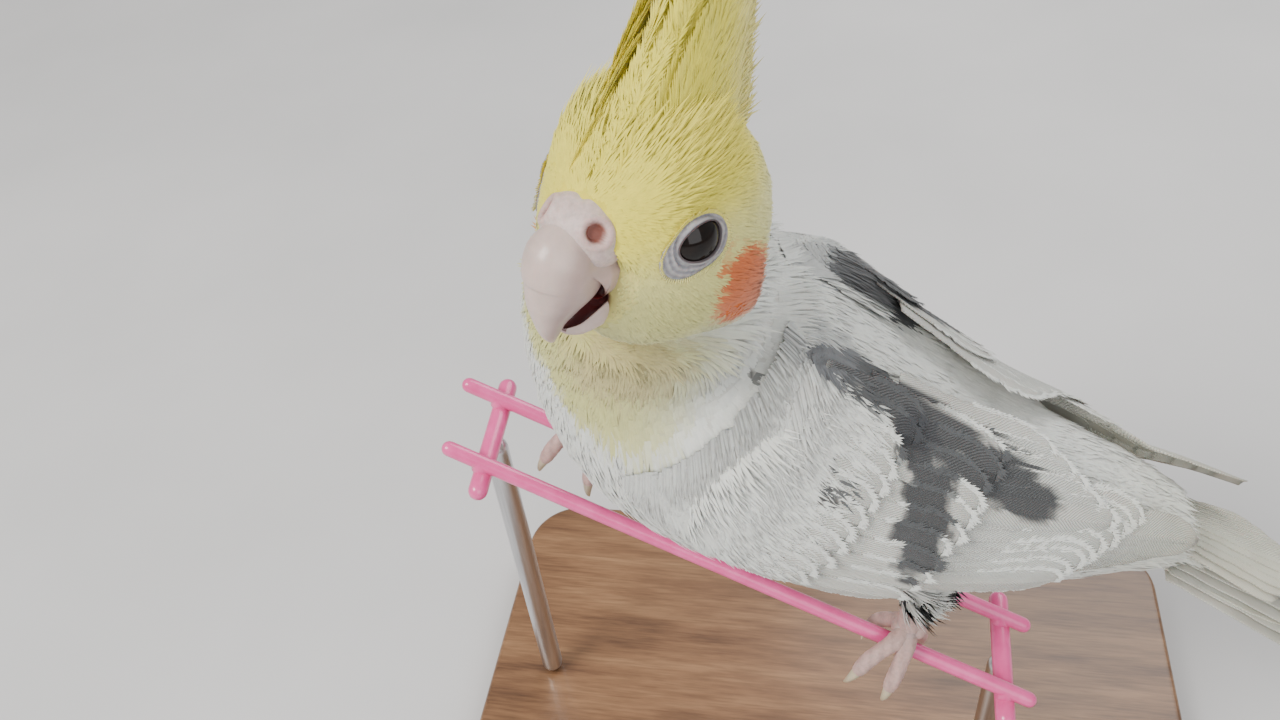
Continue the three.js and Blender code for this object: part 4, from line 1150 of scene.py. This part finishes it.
crest_roots, crest_ways, crest_normals, crest_length = [], [], [], []
shafts = []
crest_vanes = []
for aside, *plume in crest_plumes():
    t = np.linspace(0.02, 1, PLUME_STEPS)
    line = plume_line(*plume, t)
    way = unit(np.gradient(line, axis=0))
    out = head_way(0.95 - 0.65 * abs(aside), 0, 1.25 * aside)
    out = unit(out - way * (way @ out)[:, None])
    wide = unit(np.cross(way, out))
    shafts.append(tube(line, 0.22 * (1 - 0.75 * t), 6))
    half = 2.1 * np.sqrt(np.maximum(0.02, 1 - np.maximum(0, t - 0.4) ** 2 * 2.6))

    def place(row, column, side):
        i = np.round(row * (PLUME_STEPS - 1)).astype(int)
        bow = side * 0.08 - 0.35 * column**2
        return line[i] + wide[i] * (half[i] * column)[..., None] + out[i] * bow[..., None]

    vane = plate(np.linspace(0, 1, PLUME_STEPS), np.linspace(-1, 1, 7), place)
    crest_vanes.append((vane[0], vane[1], np.stack([vane[3] * 2.5, vane[2] * plume[2]], -1), vane[2]))
    for sign in (1, -1):
        for column in (0.15, 0.75):
            i = np.arange(2, PLUME_STEPS)
            beside = wide[i] * (half[i] * sign * column)[:, None]
            crest_roots.append(line[i] + beside + out[i] * (0.12 - 0.35 * column**2))
            crest_ways.append(unit(way[i] * 0.93 + wide[i] * sign * 0.19 - out[i] * 0.06 * column))
            crest_normals.append(out[i])
            crest_length.append(np.minimum(1, 1.3 - t[i]) * random.uniform(4.2, 6.2, len(i)))
    if plume[0] < REAR_PLUMES:
        i = np.arange(1, PLUME_STEPS - 3)
        crest_roots.append(line[i])
        astray = random.normal(0, 0.08, (len(i), 3))
        crest_ways.append(unit(way[i] * 0.72 + head_way(-0.62, 0, 0.25 * aside) + astray))
        crest_normals.append(out[i])
        crest_length.append(random.uniform(3.4, 5.8, len(i)))
crest_roots, crest_ways, crest_normals = (np.concatenate(v) for v in (crest_roots, crest_ways, crest_normals))
crest_normals = unit(crest_normals - crest_ways * (crest_normals * crest_ways).sum(-1, keepdims=True))
crest_length = np.concatenate(crest_length)


def crest_tint(points):
    f, u, s = head_local(points)
    pale = 0.45 * smoothstep(-4, -18, f) + 0.12 * np.sin(points[:, 1] * 2.1)
    return blend(plain(CREST_YELLOW, len(points)), PALE_YELLOW, pale)


f, u, s = head_local(crest_roots)
bundle = unit(head_way((f - 1 + 0.12 * (u - 15)) / 6, 0.2, s / 3.5))
coat(
    "crest_barbs", crest_roots, crest_normals, crest_ways, crest_tint(crest_roots), "plumage_yellow",
    soft=0.7 * smoothstep(-3.5, -0.5, s), facing=bundle, length=crest_length,
    width=np.full(len(crest_roots), 0.95), count=3, lift=np.full(len(crest_roots), 0.04), curl=0.5,
    thick=0.07,
)
points, faces, lie, row = gather(crest_vanes)
at, turn = locate(points)
piece(
    "crest_vanes", points, faces, VANE, "plumage_yellow", replaced=("crest",), tint=crest_tint(points),
    bake=unwrap(points, at, turn), lie=lie,
)
points, faces = gather(shafts)
piece("crest_shafts", points, faces, PLUMAGE, "plumage_yellow", tint=plain(CREAM * 0.95, len(points)))


# Bill, cere, tongue
def squared(share, towards_mouth):
    """Towards the mouth the sides of the bill run straight to an edge."""
    return np.where(towards_mouth, np.sign(share) * np.abs(share) ** 0.6, share)


def bill_part(stations, rows, sides, ridge, flat_side):
    at = np.linspace(0, len(stations) - 1, rows)
    f, u, deep, wide = np.moveaxis(rows_at(stations, at), -1, 0)
    way = np.stack([np.gradient(f), np.gradient(u)], -1)
    way = way / np.linalg.norm(way, axis=1, keepdims=True)
    turn = np.linspace(0, 2 * np.pi, sides, endpoint=False)
    c, s = np.cos(turn), np.sin(turn)
    keel = 1 + ridge * np.maximum(0, c) ** 6
    mouth_side = c * flat_side > 0
    tuck = lerp(0.76, 1, smoothstep(1.1, 2.1, at))[:, None] * (flat_side < 0) + (flat_side > 0)
    floor_share = lerp(0.3, -0.5, smoothstep(1, 3, at))[:, None]
    scoop = lerp(1, floor_share, smoothstep(0.5, 1, c)) if flat_side > 0 else 1
    over = np.interp(at, (0, 1, 2, 3, 4), (1.3, 1.35, 1.5, 1.3, 1))[:, None] if flat_side < 0 else 1
    deep_ring = deep[:, None] * squared(c, mouth_side) * keel * np.where(c > 0, tuck, over) * scoop
    rings = head_point(
        f[:, None] - way[:, 1:] * deep_ring,
        u[:, None] + way[:, :1] * deep_ring,
        wide[:, None] * squared(s, mouth_side) * np.where(c > 0, tuck, 1),
    )
    rows += 2
    faces = grid_faces(rows, sides, wrap=True)
    return close_ends(rings), faces, np.tile(c, rows), np.repeat(np.linspace(0, 1, rows), sides)


BILLS = [("bill_upper", UPPER_BILL, 0.03, -1), ("bill_lower", LOWER_BILL, 0.0, 1)]
for name, stations, ridge, flat_side in BILLS:
    points, faces, c, t = bill_part(stations, 60, 56, ridge, flat_side)
    # The sides turn greyer towards the tip, partly the horn's own grey and partly painted shade; the bill is
    # paler along its ridge and at its tip.
    tint = blend(plain(BILL_PINK, len(c)), SHADED_BILL_GREY, 0.55 * (1 - c**2) * smoothstep(0.15, 0.6, t))
    tint = blend(tint, BILL_PALE, 0.7 * smoothstep(0.3, 0.95, c) + 0.5 * smoothstep(0.8, 1, t))
    if ridge == 0:
        tint = blend(tint, BILL_PALE, np.full(len(c), 0.6))
    # The bill's faces towards the mouth take the mouth's red, darkened as painted shade in the gap between
    # the mandibles.
    tint = blend(tint, SHADED_MOUTH_RED, smoothstep(0.55, 0.75, c * flat_side))
    piece(name + "_horn", points, faces, HORN, "bill", replaced=(name,), tint=tint)


def ball_part(centre, radii, rows, sides):
    a = np.linspace(0, np.pi, rows)[:, None]
    b = np.linspace(0, 2 * np.pi, sides, endpoint=False)
    f, u, s = centre
    rings = head_point(
        f + radii[0] * np.cos(a), u + radii[1] * np.sin(a) * np.cos(b), s + radii[2] * np.sin(a) * np.sin(b)
    )
    return rings, grid_faces(rows, sides, wrap=True)


rings, faces = ball_part((*CERE_CENTRE, 0), CERE_RADII, 110, 120)
f, u, s = head_local(rings)
edge = np.sqrt((f - NOSTRIL[0]) ** 2 + (u - NOSTRIL[1]) ** 2 + (np.abs(s) - NOSTRIL[2]) ** 2) / NOSTRIL_RADIUS
depth = -1.05 * smoothstep(1.1, 0.8, edge) + 0.32 * np.exp(-(((edge - 1.4) / 0.32) ** 2))
inwards = unit(rings - head_point(CERE_CENTRE[0], CERE_CENTRE[1], 0))
groove = -0.45 * np.exp(-((s / 0.8) ** 2)) * smoothstep(3, 7, u)
rings = rings + inwards * (depth + groove)[..., None]
tint = blend(plain(CERE_PINK, *edge.shape), NOSTRIL_RED, smoothstep(1.06, 0.88, edge))
tint = blend(tint, NOSTRIL_RIM, 0.6 * np.exp(-(((edge - 1.25) / 0.25) ** 2)))
piece("cere_skin", rings, faces, BARE, "cere", replaced=("cere",), tint=tint.reshape(-1, 3))
rings, faces = ball_part((14.0, -8.3, 0), (3.2, 0.8, 2), 20, 24)
piece("tongue_skin", rings, faces, BARE, "tongue", replaced=("tongue",), tint=plain(TONGUE, rings.size // 3))


# Eyes and the bare skin round them
RING_SIDES = 128
RING_ROWS = 34


def eye_ring(hand):
    """Lid edge and wrinkled bare skin: rings from the opening out to the feathers."""
    fore, up, out = eye_axes(hand)
    centre = eye_centre(hand)
    turn = np.linspace(0, 2 * np.pi, RING_SIDES, endpoint=False)
    share = np.linspace(0, 1, RING_ROWS)
    inner, outer = eye_edges(turn)
    radius = lerp(inner[None] - 0.1, outer[None], share[:, None] ** 1.15)
    place = centre + fore * (radius * np.cos(turn))[..., None] + up * (radius * np.sin(turn))[..., None]
    ground = np.zeros(radius.shape)
    for index in np.ndindex(radius.shape):
        hit = skin_tree.ray_cast(Vector(place[index] + out * 12), Vector(-out))
        ground[index] = 12 - hit[3] if hit[0] is not None else 0
    away = radius - inner
    ball = np.sqrt(np.maximum(0.5, (EYE_RADIUS + 0.1) ** 2 - radius**2))
    lid = ball + 0.1 + 0.3 * np.exp(-(((away - 0.35) / 0.3) ** 2))
    skin = np.maximum(ground, ball * (away < 0.9)) + 0.75 - 0.45 * share[:, None]
    mix = smoothstep(0.35, 0.95, away)
    folds = 0.12 * np.sin(away * 7.5 + 1.5 * np.sin(turn * 3) + 0.9 * np.sin(turn * 7 + 1))
    folds = folds + 0.05 * np.sin(turn * 31) * np.minimum(1, away)
    height = np.maximum(lerp(lid, skin, mix), ground + 0.25 * smoothstep(-0.1, 0.3, away))
    height = height + folds * smoothstep(0.35, 0.9, away) * (1 - share[:, None] ** 4)
    top = place + out * height[..., None]
    under = place + out * (height - 1.0)[..., None]
    rings = np.concatenate([under[::-1], top, under[-1:]])
    last = np.zeros((1, RING_SIDES))
    edge = np.concatenate([np.ones(radius.shape), smoothstep(0.28, 0.02, away), last])
    pale = np.concatenate([np.zeros(radius.shape), 0.5 + 4 * folds, last])
    tint = blend(plain(SKIN_LILAC, *rings.shape[:2]), WHITE * 0.9, 0.3 * pale)
    tint = blend(tint, LID_EDGE, edge)
    lash = top[-4]
    lash_way = unit(lash - centre - out * ((lash - centre) @ out)[:, None])
    faces = grid_faces(len(rings), RING_SIDES, wrap=True)
    return rings, faces, tint.reshape(-1, 3), lash, unit(lash_way + out * 0.35)


for hand, side_name in HANDS:
    rings, faces = ball_part(head_local(eye_centre(hand)), (EYE_RADIUS,) * 3, 48, 64)
    piece(f"eye_ball_{side_name}", rings, faces, EYE_SHINE, "eye", replaced=(f"eye_{side_name}",))
    rings, faces, tint, lash, lash_way = eye_ring(hand)
    piece(f"eye_ring_{side_name}", rings, faces, BARE, "cere", tint=tint)
    out = eye_axes(hand)[2]
    lash_out = unit(out - lash_way * (lash_way @ out)[:, None])
    coat(
        f"lashes_{side_name}", lash, lash_out, lash_way, markings_and_shade(lash, *locate(lash)), "plumage_face",
        length=random.uniform(0.5, 1.0, len(lash)), width=np.full(len(lash), 0.2), count=1, soft=0,
        lift=np.full(len(lash), 0.1), curl=0.4, thick=0.07,
    )

# Perch, feet and claws
WIRE_RADIUS = 1.6
BAR_RADIUS = 2.0
WIRE_WAY = unit(np.array([0.125, 0.92, -0.372]))
WIRE_NEAR = np.array([15, 0, -4.2])
WIRE_FAR = np.array([-1.5, 0, -2.4])
WIRE_REACH = (-96, 32)
CROSS_BARS = (-89, 27)
WELD_DROP = np.array([0, 0, -2.4])


def wire_point(root, along):
    return root + WIRE_WAY * along


def cross_ends(along):
    near, far = wire_point(WIRE_NEAR, along), wire_point(WIRE_FAR, along)
    way = unit(near - far)
    down = unit(np.array([0, 0, -1.0]) + way * way[2]) * WIRE_RADIUS * 1.7
    return far - way * 5 + down, near + way * 5 + down


wires = []
for root in (WIRE_NEAR, WIRE_FAR):
    ends = [wire_point(root, along) for along in WIRE_REACH]
    wires.append(tube(np.linspace(*ends, 60), np.full(60, WIRE_RADIUS), 24))
for along in CROSS_BARS:
    far, near = cross_ends(along)
    wires.append(tube(np.linspace(far, near, 20), np.full(20, BAR_RADIUS), 24))
    for root in (WIRE_NEAR, WIRE_FAR):
        weld = wire_point(root, along)
        spot = np.array([lerp(weld, weld + WELD_DROP, t) for t in (0.2, 0.5, 0.8)])
        wires.append(tube(spot, np.array([1.9, 2.2, 1.9]), 20, (1, 0, 0)))
points, faces = gather(wires)
piece("perch_wires", points, faces, COATED, "coated_wire", replaced=("perch",))

TOE_RADIUS = 1.9
TOE_WRAP = WIRE_RADIUS + GAP + 1.95
CLAW_REACH = 6.5 * 1.05
TOES = [(1, -5.5, 2.2, -4), (1, 1.6, 2.8, -2), (-1, -4, 1.8, 0), (-1, 6.2, 2.6, 0)]
FEET = {
    "left": (WIRE_NEAR, 3, 1, np.array([12, 6, 14.0])),
    "right": (WIRE_FAR, -71, -1, np.array([-11.5, -52, 33.5])),
}


def toe_line(root, along, toe, hand):
    side, slide, reach, tuck = toe
    grip = wire_point(root, along)
    across = unit(np.array([1.0, 0, 0]) - WIRE_WAY * WIRE_WAY[0]) * side * hand
    up = np.cross(WIRE_WAY, across)
    up = unit(up if up[2] > 0 else -up)
    w = TOE_WRAP

    def place(turn, out, shift):
        a = math.radians(turn)
        return grip + up * math.cos(a) * out + across * math.sin(a) * out + WIRE_WAY * shift

    return [
        place(-8, w + 0.9, 0),
        place(38, w + 0.35, slide * 0.35),
        place(78, w + 0.3, slide * 0.62),
        place(108, w + 1 + reach * 0.35, slide * 0.85),
        place(128 + tuck, w + 2 + reach, slide),
    ]


def scaled_tube(line, low, high, scutes, sides=18):
    """A limb with raised scutes along it."""
    points = along_curve(line, scutes * 4)
    t = np.linspace(0, 1, len(points))
    ridge = 1 + 0.07 * np.abs(np.sin(t * scutes * math.pi)) ** 0.6
    swell = 1 + 0.06 * np.sin(t * math.pi * 3)
    return tube(points, lerp(low, high, t) * ridge * swell, sides)


for side_name, (root, along, hand, ankle) in FEET.items():
    parts = []
    claws = []
    for toe in TOES:
        line = toe_line(root, along, toe, hand)
        parts.append(scaled_tube(line, TOE_RADIUS, TOE_RADIUS * 0.7, 9))
        way = unit(line[-1] - line[-2])
        start = line[-1] + way * TOE_RADIUS * 0.25
        down = np.array([0, 0, -1.0]) + way * way[2]
        inward = np.array([-toe[0] * hand, 0, 0.0])
        t = np.linspace(0, 1, 22)[:, None]
        curve = start + CLAW_REACH * (way * t * 0.8 + down * 0.3 * t**2 + inward * 0.28 * t**2)
        claws.append(tube(curve, 1.02 * (1 - t[:, 0]) ** 0.75 + 0.08, 16))
    pad = toe_line(root, along, TOES[0], hand)[0]
    parts.append(scaled_tube([pad, lerp(pad, ankle, 0.5), ankle], 2.2, 2.5, 8, 20))
    heel = [pad + np.array([0, -1.2, 0.1]), pad, pad + np.array([0, 1.4, 0.3])]
    parts.append(tube(heel, [2.2, 2.6, 2.2], 20))
    points, faces = gather(parts)
    tint = plain(FOOT_PINK, len(points)) * (0.9 + 0.1 * np.sin(points[:, 1:2] * 3))
    piece(f"foot_skin_{side_name}", points, faces, FOOT, "skin", replaced=(f"foot_{side_name}",), tint=tint)
    points, faces = gather(claws)
    piece(
        f"claws_{side_name}", points, faces, HORN, "claw",
        replaced=tuple(f"claw_{side_name}_{k}" for k in (1, 2, 3, 4)), tint=plain(CLAW_HORN, len(points)),
    )

# Stand
BASE = {"x": 118, "y": 172, "z": 10, "corner": 14, "bevel": 1.6, "middle": -12, "floor": -72}
ROD_RADIUS = 2.6


def base_part():
    corner, bevel = BASE["corner"], BASE["bevel"]
    arc = np.radians(np.linspace(0, 90, 6))
    rounding = list(zip(bevel * (1 - np.sin(arc)), bevel * (1 - np.cos(arc))))
    top = [(pull, BASE["z"] - z) for pull, z in rounding[::-1]]
    turn = np.radians(np.concatenate([np.linspace(q, q + 90, 14) for q in (0, 90, 180, 270)]))
    cx = (BASE["x"] / 2 - corner) * np.repeat([1, -1, -1, 1], 14)
    cy = (BASE["y"] / 2 - corner) * np.repeat([1, 1, -1, -1], 14)
    rings = []
    for pull, z in [(None, 0.0), *rounding, *top, (None, BASE["z"])]:
        ring = np.zeros((56, 3))
        if pull is not None:
            ring[:, 0] = cx + (corner - pull) * np.cos(turn)
            ring[:, 1] = cy + (corner - pull) * np.sin(turn)
        rings.append(ring + np.array([0, BASE["middle"], BASE["floor"] + z]))
    return np.array(rings), grid_faces(len(rings), 56, wrap=True)


rings, faces = base_part()
piece("base_wood", rings, faces, WOOD, "stand", replaced=("stand_base",), smooth=False)
for along, end in zip(CROSS_BARS, ("front", "rear")):
    far, near = cross_ends(along)
    top = lerp(far, near, 0.5)
    low = np.array([top[0], top[1], BASE["floor"] + BASE["z"] + GAP])
    line = np.linspace(low + np.array([0, 0, ROD_RADIUS]), top - np.array([0, 0, 3.4]), 12)
    rings, faces = tube(line, np.full(12, ROD_RADIUS), 32, (1, 0, 0))
    piece(f"rod_steel_{end}", rings, faces, STEEL, "rod", replaced=(f"stand_rod_{end}",))


# Camera, light and floor
def place_camera():
    azimuth, pitch, roll = (math.radians(a) for a in CAMERA_ANGLES)
    right = np.array([math.cos(azimuth), math.sin(azimuth), 0])
    level = np.array([-math.sin(azimuth), math.cos(azimuth), 0])
    up_z = np.array([0, 0, 1.0])
    ahead = level * math.cos(pitch) - up_z * math.sin(pitch)
    over = level * math.sin(pitch) + up_z * math.cos(pitch)
    image_right = right * math.cos(roll) - over * math.sin(roll)
    image_up = over * math.cos(roll) + right * math.sin(roll)
    lens = bpy.data.cameras.new("camera")
    lens.sensor_width = 36
    lens.lens = 18 / math.tan(math.radians(FIELD_OF_VIEW / 2))
    lens.clip_start = 0.005
    seen = bpy.data.objects.new("camera", lens)
    place = (np.array(CAMERA_PLACE) + SHIFT) / 1000
    seen.matrix_world = Matrix([*np.stack([image_right, image_up, -ahead, place], 1).tolist(), (0, 0, 0, 1)])
    bpy.context.scene.collection.objects.link(seen)
    bpy.context.scene.camera = seen


def area_light(name, place, size, power, colour=(1, 1, 1)):
    light = bpy.data.lights.new(name, "AREA")
    light.size = size
    light.energy = power
    light.color = colour
    lamp = bpy.data.objects.new(name, light)
    lamp.location = place
    lamp.rotation_euler = (Vector((0, 0, 0.12)) - Vector(place)).to_track_quat("-Z", "Y").to_euler()
    bpy.context.scene.collection.objects.link(lamp)


place_camera()
area_light("key", (0.45, -0.6, 0.9), 0.45, 13, (1, 0.98, 0.95))
area_light("fill", (0.8, 0.5, 0.6), 0.9, 6, (0.97, 0.98, 1))
area_light("back", (-0.6, 0.3, 0.7), 0.6, 5)
world = bpy.data.worlds.new("studio")
world.use_nodes = True
world.node_tree.nodes["Background"].inputs["Color"].default_value = (0.9, 0.9, 0.9, 1)
world.node_tree.nodes["Background"].inputs["Strength"].default_value = 0.5
bpy.context.scene.world = world
floor_mesh = bpy.data.meshes.new("floor")
floor_mesh.from_pydata([(-4, -4, 0), (4, -4, 0), (4, 4, 0), (-4, 4, 0)], [], [(0, 1, 2, 3)])
floor = bpy.data.objects.new("floor", floor_mesh)
bpy.context.scene.collection.objects.link(floor)
floor_mesh.materials.append(FLOOR)
